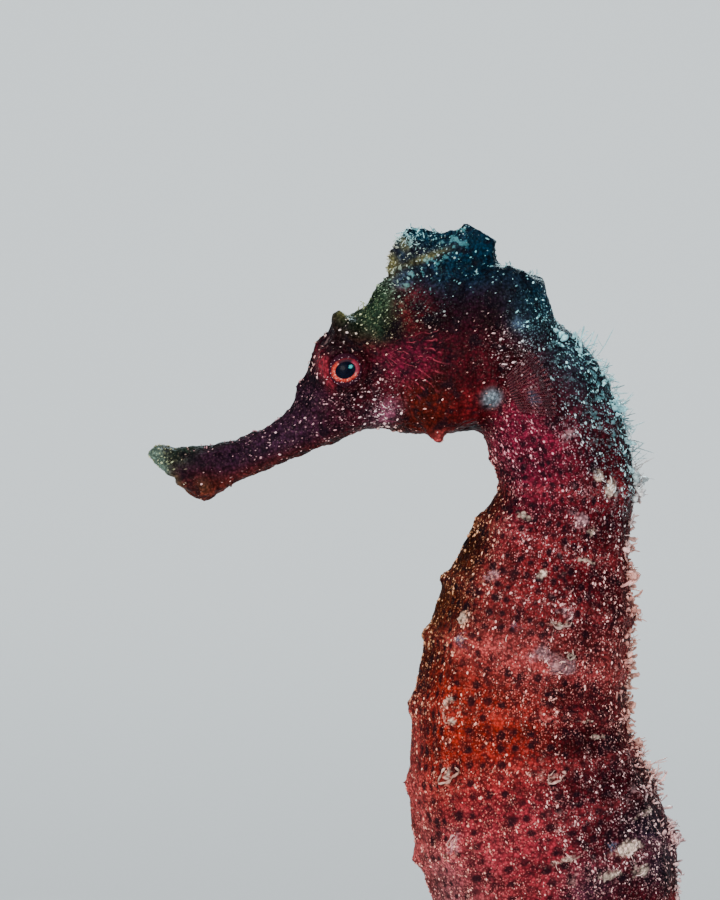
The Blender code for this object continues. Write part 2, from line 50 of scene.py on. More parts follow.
# %% [markdown]
# ## The line down the middle of the body
# A seahorse is a chain of bony rings strung on a curved line. To put rings, ridges, spots and grains where they belong,
# each point of the skin needs two numbers: how many rings lie ahead of it, and how far it is turned from the belly
# round to the back. One could unwrap the mesh by hand instead. A formula is chosen because it gives the same numbers
# to the skin, the grains and the fringes, however each mesh is made.

# %% The axis of the trunk and tail
TRUNK_AXIS = (  # forward-back and height from the hip, from the neck down
    (-8.6, 58.4),
    (-5.0, 52.4),
    (-3.1, 45.6),
    (-4.95, 38.0),
    (-6.95, 27.0),
    (-6.35, 19.0),
    (-3.6, 10.4),
    (-1.9, 4.4),
    (0.0, 0.0),
)
TAIL_LENGTH = 91.0
TAIL_BEND = (0.014, 0.284, 2.5)  # at the hip, at the tip, and how late it tightens
STAND_CLEARANCE = 22.0  # from the shelf to the underside of the tail
TRUNK_STEPS, TAIL_STEPS = 40, 400  # points between two knots, and down the tail


def trunk_line(knots):
    """Points on a smooth curve through the knots."""
    knots = np.array(knots)
    knots = np.vstack([2 * knots[0] - knots[1], knots, 2 * knots[-1] - knots[-2]])
    t = (np.arange(TRUNK_STEPS) / TRUNK_STEPS)[:, None]
    spans = []
    for a, b, c, d in zip(knots, knots[1:], knots[2:], knots[3:]):
        curve = 2 * b + (c - a) * t + (2 * a - 5 * b + 4 * c - d) * t**2 + (3 * b - a - 3 * c + d) * t**3
        spans.append(0.5 * curve)
    return np.vstack(spans + [knots[-2:-1]])


trunk = trunk_line(TRUNK_AXIS)
step = TAIL_LENGTH / TAIL_STEPS
share = (np.arange(TAIL_STEPS) + 0.5) / TAIL_STEPS
last = trunk[-1] - trunk[-2]
heading = math.atan2(last[0], -last[1]) - np.cumsum(step * (TAIL_BEND[0] + TAIL_BEND[1] * share ** TAIL_BEND[2]))
tail = trunk[-1] + np.cumsum(step * np.stack([np.sin(heading), -np.cos(heading)], 1), 0)
AXIS = np.vstack([trunk, tail])
ALONG = np.concatenate([[0], np.cumsum(np.linalg.norm(np.diff(AXIS, axis=0), axis=1))])
HIP = float(ALONG[len(trunk) - 1])
TIP = float(ALONG[-1])
print("axis length:", round(TIP, 1), "hip at:", round(HIP, 1))

# %% The girth of the body
GIRTH = (  # how far along the axis, half depth, half width
    (0.0, 4.8, 3.6),
    (7.0, 6.1, 4.5),
    (14.5, 6.0, 4.5),
    (25.0, 8.55, 5.9),
    (37.0, 9.8, 6.7),
    (44.0, 10.9, 7.1),
    (49.0, 11.0, 6.9),
    (55.0, 9.3, 6.1),
    (60.5, 6.2, 5.0),
    (66.0, 4.7, 4.3),
    (78.0, 4.0, 3.7),
    (105.0, 2.8, 2.6),
    (130.0, 1.7, 1.6),
    (152.0, 0.75, 0.7),
)


def curve_through(table, column):
    """A smooth function through one column of a table of sizes, which never overshoots them."""
    x, y = np.array([row[0] for row in table]), np.array([row[column] for row in table])
    h, d = np.diff(x), np.diff(y) / np.diff(x)
    tangent = np.concatenate([d[:1], np.zeros(len(d) - 1), d[-1:]])
    for i in range(1, len(d)):
        if d[i - 1] * d[i] > 0:
            near, far = 2 * h[i] + h[i - 1], h[i] + 2 * h[i - 1]
            tangent[i] = (near + far) / (near / d[i - 1] + far / d[i])

    def at(place):
        i = np.clip(np.searchsorted(x, place) - 1, 0, len(h) - 1)
        t = np.clip((place - x[i]) / h[i], 0, 1)
        ends = y[i] * (1 + 2 * t) * (1 - t) ** 2 + y[i + 1] * t * t * (3 - 2 * t)
        return ends + tangent[i] * h[i] * t * (1 - t) ** 2 + tangent[i + 1] * h[i] * t * t * (t - 1)

    return at


half_depth, half_width = curve_through(GIRTH, 1), curve_through(GIRTH, 2)
lowest = float(np.min(AXIS[:, 1] - half_depth(ALONG)))
ORIGIN = np.array([-0.5 * AXIS[AXIS[:, 1].argmin(), 0], STAND_CLEARANCE - lowest])  # the hip, forward-back and height
print("hip stands at:", ORIGIN.round(2))

# %% [markdown]
# ## Where a point lies on the animal
# `body_place` finds the nearest point of the axis and returns the ring number, the turn (0 at the belly, pi at the
# back) and the distance along. `head_place` gives forward and up in the head's own frame, whose origin sits on the
# snout's line under the eye.

# %% Places on the body and the head
RING_START, TRUNK_RINGS = 6.5, 11  # how far along the first begins, and how many the trunk has
TAIL_RINGS = (3.9, 1.6)  # length of the first and the last
RING_CREST = 0.55  # where the crest lies in each ring, as a share of it
KEEL_TAPER = 0.13  # how much the trunk narrows towards the belly
HEAD_AT = np.array([-21.4, 52.7])  # the head's origin, forward-back and height from the hip
HEAD_PITCH = math.radians(20.6)  # how far the snout points down
NECK_BORDER_AT, NECK_BORDER_WAY = (-9.4, -6.4), (0.622, 0.783)  # a place on it, and the way across it to the head


def smooth(low, high, value):
    t = np.clip((value - low) / (high - low), 0, 1)
    return t * t * (3 - 2 * t)


def rings_before(along):
    in_trunk = TRUNK_RINGS * (along - RING_START) / (HIP - RING_START)
    change = (TAIL_RINGS[1] - TAIL_RINGS[0]) / TAIL_LENGTH
    in_tail = TRUNK_RINGS + np.log(1 + change * np.maximum(along - HIP, 0) / TAIL_RINGS[0]) / change
    return np.where(along < HIP, in_trunk, in_tail)


def axis_frame(along):
    """Centre, direction to the tail and direction to the belly, each as (forward-back, height)."""
    centre = np.stack([np.interp(along, ALONG, AXIS[:, i]) for i in (0, 1)], -1)
    ahead = np.stack([np.interp(np.minimum(along + 0.4, TIP), ALONG, AXIS[:, i]) for i in (0, 1)], -1)
    behind = np.stack([np.interp(np.maximum(along - 0.4, 0), ALONG, AXIS[:, i]) for i in (0, 1)], -1)
    tailward = ahead - behind
    tailward /= np.linalg.norm(tailward, axis=-1, keepdims=True)
    return centre, tailward, np.stack([tailward[..., 1], -tailward[..., 0]], -1)


def body_place(points):
    """(along, ring, turn) of points in metres."""
    flat = points[:, [0, 2]] / MM - ORIGIN
    nearest = np.concatenate(
        [((part[:, None] - AXIS[None]) ** 2).sum(-1).argmin(1) for part in np.array_split(flat, len(flat) // 4000 + 1)]
    )
    along = ALONG[nearest]
    centre, tailward, _ = axis_frame(along)
    along = np.clip(along + ((flat - centre) * tailward).sum(-1), 0, TIP)
    centre, _, belly = axis_frame(along)
    depth = ((flat - centre) * belly).sum(-1) / half_depth(along)
    side = np.abs(points[:, 1]) / MM / half_width(along)
    turn = np.arctan2(side, depth)
    turn = np.arctan2(side / (1 - KEEL_TAPER * np.cos(turn)), depth)
    return along, rings_before(along), turn


def head_place(points):
    """(forward, up) of points in metres, in the head's frame."""
    flat = points[:, [0, 2]] / MM - ORIGIN - HEAD_AT
    c, s = math.cos(HEAD_PITCH), math.sin(HEAD_PITCH)
    return -c * flat[:, 0] - s * flat[:, 1], -s * flat[:, 0] + c * flat[:, 1]


def head_to_world(forward, left, up):
    c, s = math.cos(HEAD_PITCH), math.sin(HEAD_PITCH)
    x = HEAD_AT[0] + ORIGIN[0] - c * forward - s * up
    z = HEAD_AT[1] + ORIGIN[1] - s * forward + c * up
    return np.stack(np.broadcast_arrays(x, -np.asarray(left, float), z), -1) * MM


def on_head(forward, up):
    """1 on the head and 0 on the neck, with a soft border from nape to throat."""
    past = NECK_BORDER_WAY[0] * (forward - NECK_BORDER_AT[0]) + NECK_BORDER_WAY[1] * (up - NECK_BORDER_AT[1])
    return smooth(-1.2, 1.2, past)


# %% [markdown]
# ## One skin over every solid of flesh
# The real skin is drawn tight over the bony rings without a seam. Here the solids of flesh are copied and joined,
# pushed out a little so that the thin cuts between them close, and turned into one surface by a voxel remesh. The same
# distance is then taken back, and a little more, which leaves room for the grains. Boolean unions would also join the
# solids, but they keep the cuts. A ball fills each eye socket for now, so that the lids can be shaped from closed skin.

# %% Join the solids of flesh
TRUNK_NODES = ["neck", "trunk_upper", "trunk_middle", "trunk_lower"] + [f"tail_{i}" for i in range(1, 7)]
HEAD_NODES = ["head", "snout", "lower_jaw", "gill_cover_left", "gill_cover_right", "coronet"]
CLOSING = 0.22  # how far the solids swell to close the cuts
COAT = 0.08  # how far the skin lies under the solids' surface, to leave room for the grains
VOXEL = 0.285  # the width of a face after the remesh
EYE_AT = (0.0, 3.0, 3.55)  # forward, aside, up
EYE_RADIUS, SOCKET_GAP = 1.8, 0.15


def alone(ob):
    """Selects one object and nothing else, as each operator below acts on all that is selected."""
    bpy.ops.object.select_all(action="DESELECT")
    ob.select_set(True)
    bpy.context.view_layer.objects.active = ob
    return ob


def finish_with(ob, kind, **settings):
    """Adds a modifier to an object and applies it."""
    alone(ob)
    step = ob.modifiers.new(kind.lower(), kind)
    for name, value in settings.items():
        setattr(step, name, value)
    bpy.ops.object.modifier_apply(modifier=step.name)


def join(parts, title):
    """Joins objects into the first of them."""
    alone(parts[0])
    for part in parts:
        part.select_set(True)
    bpy.ops.object.join()
    bpy.context.object.name = title
    return bpy.context.object


copies = []
for name in TRUNK_NODES + HEAD_NODES:
    copies.append(bpy.data.objects.new(name + "_copy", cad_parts[name].data.copy()))
    bpy.context.collection.objects.link(copies[-1])
for side in (1, -1):
    bpy.ops.object.select_all(action="DESELECT")
    place = head_to_world(EYE_AT[0], side * EYE_AT[1], EYE_AT[2])
    radius = (EYE_RADIUS + SOCKET_GAP) * MM
    bpy.ops.mesh.primitive_uv_sphere_add(segments=32, ring_count=16, radius=radius, location=place)
    bpy.ops.object.transform_apply(location=True, rotation=False, scale=False)
    copies.append(bpy.context.object)
skin = join(copies, "skin")
skin.data.materials.clear()
bpy.ops.object.mode_set(mode="EDIT")
bpy.ops.mesh.select_all(action="SELECT")
bpy.ops.mesh.remove_doubles(threshold=1e-6)
bpy.ops.object.mode_set(mode="OBJECT")
finish_with(skin, "DISPLACE", strength=CLOSING * MM, mid_level=0.0)
finish_with(skin, "REMESH", mode="VOXEL", voxel_size=VOXEL * MM)
finish_with(skin, "SMOOTH", factor=0.5, iterations=11)
finish_with(skin, "DISPLACE", strength=-(CLOSING + COAT) * MM, mid_level=0.0)
finish_with(skin, "SMOOTH", factor=0.5, iterations=3)
print("skin faces:", len(skin.data.polygons))

# %% [markdown]
# ## Rings, ridges and knobs
# The remesh leaves the flats of the plain solids. Each point of the trunk and tail is therefore moved to the true
# surface: an oval that carries lengthwise ridges, a crest on each ring, and a blunt knob where the two cross. Moving
# points by formula is chosen over sculpting, because the crests then sit exactly on the ring numbers.

# %% Shape the trunk and tail
TRUNK_RIDGES, TAIL_RIDGES = (0, 46, 100, 143), (45, 135)  # where they run, as turns in degrees
RIDGE_RISE, CREST_RISE, KNOB_RISE, HOLLOW_DEPTH = 0.030, 0.016, 0.045, 0.016  # as shares of the body's radius


def points_of(ob):
    found = np.empty(len(ob.data.vertices) * 3)
    ob.data.vertices.foreach_get("co", found)
    return found.reshape(-1, 3)


def set_points(ob, points):
    ob.data.vertices.foreach_set("co", points.ravel())
    ob.data.update()


def normals_of(ob):
    found = np.empty(len(ob.data.vertices) * 3)
    ob.data.vertex_normals.foreach_get("vector", found)
    return found.reshape(-1, 3)


def near_ridge(turn, ridges, width):
    away = np.min([np.abs(np.degrees(turn) - ridge) for ridge in ridges], axis=0)
    return np.exp(-((away / width) ** 2))


def ridge_and_crest(along, ring, turn):
    """How near a place is to a lengthwise ridge and to the crest of a ring, each from 0 to 1."""
    in_tail = smooth(HIP - 4, HIP + 4, along)
    ridge = (1 - in_tail) * near_ridge(turn, TRUNK_RIDGES, 10) + in_tail * near_ridge(turn, TAIL_RIDGES, 13)
    return ridge, 0.5 + 0.5 * np.cos(2 * np.pi * (ring - RING_CREST))


def relief(along, ring, turn):
    """How far the body stands out of its plain oval, as a share of its radius."""
    ridge, wave = ridge_and_crest(along, ring, turn)
    crest, past_head = wave**4, smooth(0, 4, along - RING_START)
    knob = ridge**2 * wave**6
    hollow = HOLLOW_DEPTH * (1 - ridge) * (1 - crest)
    return past_head * (RIDGE_RISE * ridge + CREST_RISE * crest + KNOB_RISE * knob - hollow)


def body_surface(along, turn, side, rise=0.0):
    """Points in metres on the shaped body. The side is 1 on the left and -1 on the right."""
    centre, _, belly = axis_frame(along)
    in_tail = smooth(HIP - 4, HIP + 4, along)
    squareness = 2.0 + 0.7 * in_tail
    c, s = np.cos(turn), np.sin(turn)
    reach = (np.abs(c) ** squareness + np.abs(s) ** squareness) ** (-1 / squareness)
    out = reach * (1 + relief(along, rings_before(along), turn))
    taper = 1 - KEEL_TAPER * (1 - in_tail) * smooth(0, 4, along - RING_START) * c
    deep = (out * half_depth(along) - COAT + rise) * c
    wide = (out * half_width(along) * taper - COAT + rise) * s * side
    flat = centre + belly * deep[..., None] + ORIGIN
    return np.stack([flat[..., 0], -wide, flat[..., 1]], -1) * MM


points = points_of(skin)
along, _, turn = body_place(points)
head = on_head(*head_place(points))
side = np.where(points[:, 1] < 0, 1.0, -1.0)
target = body_surface(along, turn, side)
miss = np.linalg.norm(target - points, axis=1) / MM
pull = (1 - head) * (1 - smooth(0.9, 1.8, miss)) * (1 - smooth(TIP - 1.0, TIP - 0.3, along))
points += (target - points) * pull[:, None]
set_points(skin, points)
moved = pull > 0.5
print("points moved to the rings:", int(moved.sum()), "mean move in mm:", round(float(miss[moved].mean()), 3))

# %% [markdown]
# ## The face
# On the head the same idea is used with dabs and grooves: each is a soft hill or valley at a place in the head's frame,
# pushed along the surface. They make the fine ribs of the gill covers, the groove round them, the nostrils and the
# closed mouth. Round each eye the skin is set to a dish with a raised lid, so that the eyeball sits in a true circle.

# %% The forms of the head
GILL_AT, GILL_RADII = (-8.3, -0.9), (4.2, 3.6)
GILL_FAN_AT = (-3.0, 4.6)  # where the ribs of the gill cover spread from
GILL_RIBS, GILL_RIB_HEIGHT = 22, 0.09  # the ribs in a full turn
GILL_RIMS = ((1.08, 0.09, -0.22), (0.93, 0.08, 0.08))  # how far out, width and height of the groove and the lip
MOUTH_CORNER, MOUTH_FRONT = (14.2, -0.9), (18.6, 0.1)
LIP_REACH = 0.6
LID_DISH = ((0.0, 3.75), (1.15, 3.78), (1.45, 4.07), (1.75, 4.28), (2.15, 4.02))  # from the gaze, aside
HEAD_LINES = (  # start, end, width, height, and 1 for a line on the sides alone
    (MOUTH_CORNER, MOUTH_FRONT, 0.28, -0.22, 0),  # the closed mouth
    (MOUTH_CORNER, (14.4, -3.2), 0.3, -0.12, 0),  # the end of the jaw
    ((-8.2, 8.3), (-15.5, 6.0), 0.5, 0.22, 1),  # a ridge on the temple, and the furrow above it
    ((-8.0, 9.4), (-15.0, 7.6), 0.45, -0.25, 1),
)
HEAD_SWELLINGS = (  # forward, up, reach, height, and 1 for a swelling on the sides alone
    (2.9, 4.9, 0.3, -0.28, 1),  # the nostrils
    (3.7, 4.0, 0.25, -0.28, 1),
    (-2.2, -1.2, 0.8, 0.30, 1),  # low knobs from the cheek to the nape
    (-13.5, 1.5, 1.0, 0.30, 1),
    (-7.7, 9.0, 0.7, 0.25, 1),
    (-4.4, 5.4, 0.8, 0.25, 1),
    (-11.0, -3.2, 0.8, 0.35, 1),
    (-15.8, 2.4, 0.7, 0.35, 1),
    (-5.8, 9.3, 1.5, 0.75, 0),  # the front of the crown
    (-7.0, 11.6, 1.3, 0.60, 0),
    (-6.4, 10.6, 1.0, 0.40, 0),
    (-19.0, 5.4, 1.3, 0.60, 0),  # the nape
    (17.4, 3.1, 0.9, 0.65, 0),  # the upper lip and the chin
    (15.8, -2.9, 1.5, 0.25, 0),
    (1.9, 6.8, 1.3, 0.50, 0),  # the brow
    (-0.9, 7.7, 0.6, 0.35, 0),
)

# %% Shape the head


def dab(forward, up, at, radius):
    return np.exp(-((forward - at[0]) ** 2 + (up - at[1]) ** 2) / radius**2)


def groove(forward, up, start, end, width):
    """1 on a straight line between two places, falling off to its sides and ends."""
    reach = np.array(end) - np.array(start)
    t = np.clip(((forward - start[0]) * reach[0] + (up - start[1]) * reach[1]) / (reach @ reach), 0, 1)
    gap = (forward - start[0] - t * reach[0]) ** 2 + (up - start[1] - t * reach[1]) ** 2
    return np.exp(-gap / width**2)


def away_from_eye(forward, up):
    return np.hypot(forward - EYE_AT[0], up - EYE_AT[2])


points, normals = points_of(skin), normals_of(skin)
forward, up = head_place(points)
aside = np.abs(points[:, 1]) / MM
head = on_head(forward, up)
flank = smooth(0.35, 0.75, np.abs(normals[:, 1]))  # 1 where the surface faces sideways
gill = np.hypot((forward - GILL_AT[0]) / GILL_RADII[0], (up - GILL_AT[1]) / GILL_RADII[1])
gill_edge = smooth(-1.0, 2.5, 0.5 * (GILL_AT[1] - up) + GILL_AT[0] - forward)  # the front runs on into the cheek
fan_turn = np.arctan2(up - GILL_FAN_AT[1], GILL_FAN_AT[0] - forward)
fan_reach = np.hypot(up - GILL_FAN_AT[1], GILL_FAN_AT[0] - forward)
on_ribs = smooth(1.2, 2.4, fan_reach) * (1 - smooth(4.8, 7.4, fan_reach)) * smooth(-1.4, -1.1, fan_turn)
on_ribs = on_ribs * (1 - smooth(-0.35, 0.05, fan_turn)) * flank * (forward < GILL_FAN_AT[0])
rise = GILL_RIB_HEIGHT * on_ribs * np.sin(fan_turn * GILL_RIBS)
for how_far, width, height in GILL_RIMS:
    rise += height * np.exp(-(((gill - how_far) / width) ** 2)) * flank * gill_edge
for start, end, width, height, on_sides in HEAD_LINES:
    rise += height * groove(forward, up, start, end, width) * flank**on_sides
for at_forward, at_up, reach, height, on_sides in HEAD_SWELLINGS:
    rise += height * dab(forward, up, (at_forward, at_up), reach) * flank**on_sides
points += normals * (rise * head * MM)[:, None]
lips = LIP_REACH * smooth(15.5, 18.2, forward) * head * MM
points += lips[:, None] * np.array([-math.cos(HEAD_PITCH), 0, -math.sin(HEAD_PITCH)])
from_eye = away_from_eye(forward, up)
dish = np.interp(from_eye, *zip(*LID_DISH)) * np.where(points[:, 1] < 0, -MM, MM)
lid = (1 - smooth(1.85, 2.2, from_eye)) * (aside > 2.4)
points[:, 1] += (dish - points[:, 1]) * lid
set_points(skin, points)
print("face shaped, deepest and highest in mm:", round(float(rise.min()), 2), round(float(rise.max()), 2))

# %% [markdown]
# ## Lumps and crust
# Displace modifiers with soft noise break up what the formulas leave too even. Four act in turn: lumps about as wide
# as a ring crest, stronger ones on the head, lumps as fine as the mesh allows, and coarse ones on the coronet, the
# nape and the knobs, where the real skin is ragged. A vertex group holds each to its part and keeps all of them off
# the lids. Finer grain comes from the separate skin grains and from bump.

# %% Where the skin is ragged
CROWN_FOOT, CROWN_SLANT, CROWN_MIDDLE = 9.2, 0.36, -11.4  # its foot slants, and is this high at its middle
CROWN_AT = head_to_world(CROWN_MIDDLE, 0.0, 8.6) / MM
CROWN_TOP = (  # forward of the crown's middle, and how much its top is raised
    (-4.8, -1.0),
    (-4.0, -0.4),
    (-3.1, 0.1),
    (-2.0, 0.9),
    (-1.0, 0.4),
    (0.4, 0.0),
    (1.5, 0.2),
    (3.1, 0.6),
    (4.2, -0.5),
    (5.0, -1.4),
)
LUMPS = (  # size, depth and the part of the skin
    ("broad_lumps", 1.7, 0.20, "all_over"),
    ("head_lumps", 1.1, 0.42, "head"),
    ("fine_lumps", 0.55, 0.14, "all_over"),
    ("crust_lumps", 0.8, 0.75, "ragged"),
)


def over_slant(forward, up):
    """Height in the head's frame, evened out along the slanting foot of the crown."""
    return up + CROWN_SLANT * (forward - CROWN_MIDDLE)


def on_nape(ring, turn, head, low, high):
    """1 behind the head, where the turn is past a low to high border."""
    return smooth(2.2, 1.0, ring) * smooth(low, high, turn) * (1 - head)


def raggedness(along, ring, turn, forward, up, head):
    """1 where the skin is a ragged crust."""
    ridge, wave = ridge_and_crest(along, ring, turn)
    knobs = (1 - head) * ridge**2 * wave**3 * smooth(0.2, 1.0, ring)
    crown = head * smooth(-0.8, 0.8, over_slant(forward, up) - CROWN_FOOT) * smooth(2, 0, np.abs(forward + 12) - 6)
    brow = head * dab(forward, up, (1.2, 7.0), 1.2)
    lips = head * dab(forward, up, (18.4, 1.8), 1.4)
    return np.clip(0.7 * knobs + crown + 0.5 * on_nape(ring, turn, head, 1.9, 2.5) + 0.6 * brow + 0.4 * lips, 0, 1)


# %% Lumps on the skin


def weigh(ob, title, amount):
    """Adds a vertex group that holds the amounts, in steps of a tenth."""
    group = ob.vertex_groups.new(name=title)
    for level in range(1, 11):
        group.add(np.nonzero(np.round(10 * amount) == level)[0].tolist(), level / 10, "REPLACE")


points = points_of(skin)
along, ring, turn = body_place(points)
forward, up = head_place(points)
head = on_head(forward, up)
height = points[:, 2] / MM - CROWN_AT[2]
uneven = np.interp(CROWN_AT[0] - points[:, 0] / MM, *zip(*CROWN_TOP)) * smooth(1.0, 2.8, height) * head
points[:, 2] += uneven * MM
set_points(skin, points)
calm = smooth(1.7, 2.6, away_from_eye(forward, up))  # the lids stay smooth
weigh(skin, "ragged", raggedness(along, ring, turn, forward, up, head) * calm)
weigh(skin, "all_over", calm)
weigh(skin, "head", head * calm)
for title, size, depth, where in LUMPS:
    noise = bpy.data.textures.new(title, "CLOUDS")
    noise.noise_scale = size * MM
    noise.noise_depth = 2
    settings = {"texture": noise, "texture_coords": "LOCAL", "vertex_group": where}
    finish_with(skin, "DISPLACE", strength=depth * MM, mid_level=0.6, **settings)
skin.vertex_groups.clear()
alone(skin)
bpy.ops.object.shade_smooth()
print("triangles of the skin:", sum(len(face.vertices) - 2 for face in skin.data.polygons))

# %% [markdown]
# ## Where the colours lie
# This seahorse is orange-red on the flank, olive-brown on the front of the belly, magenta at the neck and nearly black
# on the back and crown. A painter would lay soft dabs of each, and the code does the same: every dab has a colour, a
# place and a reach, and each point takes the mean of the dabs, weighted by how near they are. An image could carry
# the colours too, but it would need an unwrap and would not follow the rings.

# %% The dabs of colour
OLIVE_BROWN = (0.022, 0.008, 0.001)
ORANGE_RED = (0.27, 0.012, 0.004)
ROSE = (0.33, 0.046, 0.046)
CRIMSON = (0.15, 0.006, 0.009)
MAGENTA = (0.11, 0.005, 0.022)
MAROON = (0.040, 0.002, 0.005)
AUBERGINE = (0.007, 0.001, 0.004)
LILAC = (0.34, 0.17, 0.19)
CREAM = (0.52, 0.40, 0.32)
NAVY = (0.0, 0.021, 0.043)
SLATE_BLUE = (0.06, 0.10, 0.16)
MOSS = (0.009, 0.034, 0.018)
PLUM = (0.019, 0.007, 0.019)
LIP_GREY = (0.16, 0.25, 0.20)
RUST = (0.055, 0.005, 0.002)
SEA_GREY = (0.003, 0.024, 0.040)
JAW_RED = (0.13, 0.018, 0.010)
MAUVE = (0.20, 0.055, 0.10)
OCHRE = (0.15, 0.14, 0.05)
RASPBERRY = (0.33, 0.026, 0.044)
SAND = (0.20, 0.12, 0.06)
MIST = (0.22, 0.28, 0.33)

BODY_DABS = (  # colour, ring, turn in degrees, reach in rings and in degrees, strength
    (OLIVE_BROWN, 3.3, 0, 1.7, 34, 2.4),
    (RUST, 4.4, 38, 0.8, 20, 0.8),
    (ORANGE_RED, 5.8, 62, 1.0, 32, 2.6),
    (ORANGE_RED, 6.6, 34, 0.7, 18, 0.9),
    (RASPBERRY, 7.7, 68, 1.0, 34, 2.8),
    (ROSE, 7.3, 8, 1.2, 22, 2.8),
    (LILAC, 8.3, 28, 0.9, 24, 1.4),
    (ROSE, 4.5, 84, 0.5, 34, 3.6),
    (NAVY, 8.7, 101, 0.35, 13, 2.5),
    (NAVY, 8.45, 146, 0.5, 14, 2.5),
    (ROSE, 4.4, 140, 0.5, 16, 1.3),
    (ROSE, 3.1, 62, 0.4, 20, 0.5),
    (ROSE, 8.4, 45, 0.7, 20, 0.8),
    (CRIMSON, 8.6, 70, 1.5, 40, 1.3),
    (CRIMSON, 3.0, 86, 1.4, 26, 1.8),
    (AUBERGINE, 7.9, 132, 1.3, 30, 2.6),
    (MAROON, 4.1, 120, 1.5, 24, 2.2),
    (MAROON, 2.9, 96, 0.4, 14, 1.2),
    (MAROON, 3.7, 78, 0.35, 24, 0.9),
    (MAROON, 6.0, 125, 1.0, 26, 1.6),
    (MAGENTA, 0.7, 58, 1.5, 44, 2.2),
    (MAROON, 0.9, 128, 1.2, 32, 2.0),
    (AUBERGINE, 0.3, 168, 0.9, 24, 1.5),
    (SEA_GREY, -0.6, 150, 0.9, 34, 5.0),
    (MAROON, 9.5, 0, 1.2, 40, 0.8),
)
HEAD_DABS = (  # colour, forward, up, reach forward and up, strength
    (PLUM, 9.5, 0.2, 7.0, 2.6, 2.2),
    (JAW_RED, 9.5, -2.6, 7.0, 0.9, 2.6),
    (JAW_RED, 15.6, -2.2, 1.6, 1.2, 2.8),
    (LIP_GREY, 18.7, 1.6, 0.7, 2.2, 6.0),
    (SAND, 17.7, -0.6, 0.5, 0.7, 2.5),
    (SAND, 17.1, -2.0, 0.35, 0.7, 2.0),
    (SAND, 15.3, -1.8, 0.5, 0.6, 1.6),
    (MOSS, 16.0, 1.9, 1.2, 1.0, 2.0),
    (MOSS, 11.5, 1.7, 2.6, 0.5, 2.5),
    (AUBERGINE, 1.8, 5.4, 2.2, 2.2, 2.2),
    (PLUM, 4.2, 2.6, 1.8, 1.6, 2.4),
    (OCHRE, -1.8, 8.3, 0.5, 0.4, 3.0),
    (MAROON, 0.0, 0.6, 3.4, 1.8, 1.6),
    (RASPBERRY, 1.65, 4.0, 0.4, 1.1, 9.0),
    (MOSS, -4.2, 8.0, 2.4, 1.7, 3.0),
    (MOSS, -4.4, 5.6, 0.8, 0.7, 1.8),
    (MAROON, -8.0, 6.4, 2.0, 1.5, 2.2),
    (CRIMSON, -7.6, 6.7, 1.2, 1.4, 2.4),
    (AUBERGINE, -7.7, 6.6, 0.5, 0.5, 30.0),
    (AUBERGINE, -8.7, 4.8, 0.55, 0.45, 30.0),
    (AUBERGINE, -5.1, 5.1, 0.5, 0.5, 20.0),
    (SLATE_BLUE, -15.8, 2.2, 0.6, 0.5, 7.0),
    (AUBERGINE, -12.2, 5.2, 3.2, 2.6, 3.4),
    (MAGENTA, -5.4, 2.4, 2.0, 1.4, 1.5),
    (RUST, -5.4, -2.2, 2.2, 2.0, 2.6),
    (CRIMSON, -8.6, -2.8, 2.2, 1.3, 1.0),
    (MAROON, -10.6, 0.4, 2.6, 2.6, 2.2),
    (MAUVE, -1.8, -1.2, 1.2, 0.8, 2.4),
    (NAVY, -12.4, 8.2, 3.6, 1.7, 3.6),
    (NAVY, -11.0, 12.5, 4.5, 1.6, 5.0),
    (NAVY, -15.6, 8.4, 2.6, 2.2, 5.0),
    (NAVY, -18.6, 4.6, 1.4, 2.6, 3.0),
    (AUBERGINE, -15.0, 5.0, 2.4, 2.6, 2.0),
    (OCHRE, -6.9, 11.0, 0.5, 0.9, 5.0),
    (OCHRE, -8.7, 12.0, 0.35, 0.5, 6.0),
    (OCHRE, -10.2, 10.2, 1.6, 0.22, 4.0),
    (AUBERGINE, -9.5, 11.2, 0.8, 0.4, 5.0),
    (AUBERGINE, -7.8, 11.8, 0.3, 0.4, 5.0),
    (SLATE_BLUE, -7.7, 9.1, 0.7, 0.45, 6.0),
    (MIST, -11.0, -3.2, 0.5, 0.45, 9.0),
    (SEA_GREY, -16.8, 3.6, 1.8, 2.4, 2.4),
    (ROSE, -5.6, -5.2, 0.9, 0.7, 3.0),
)

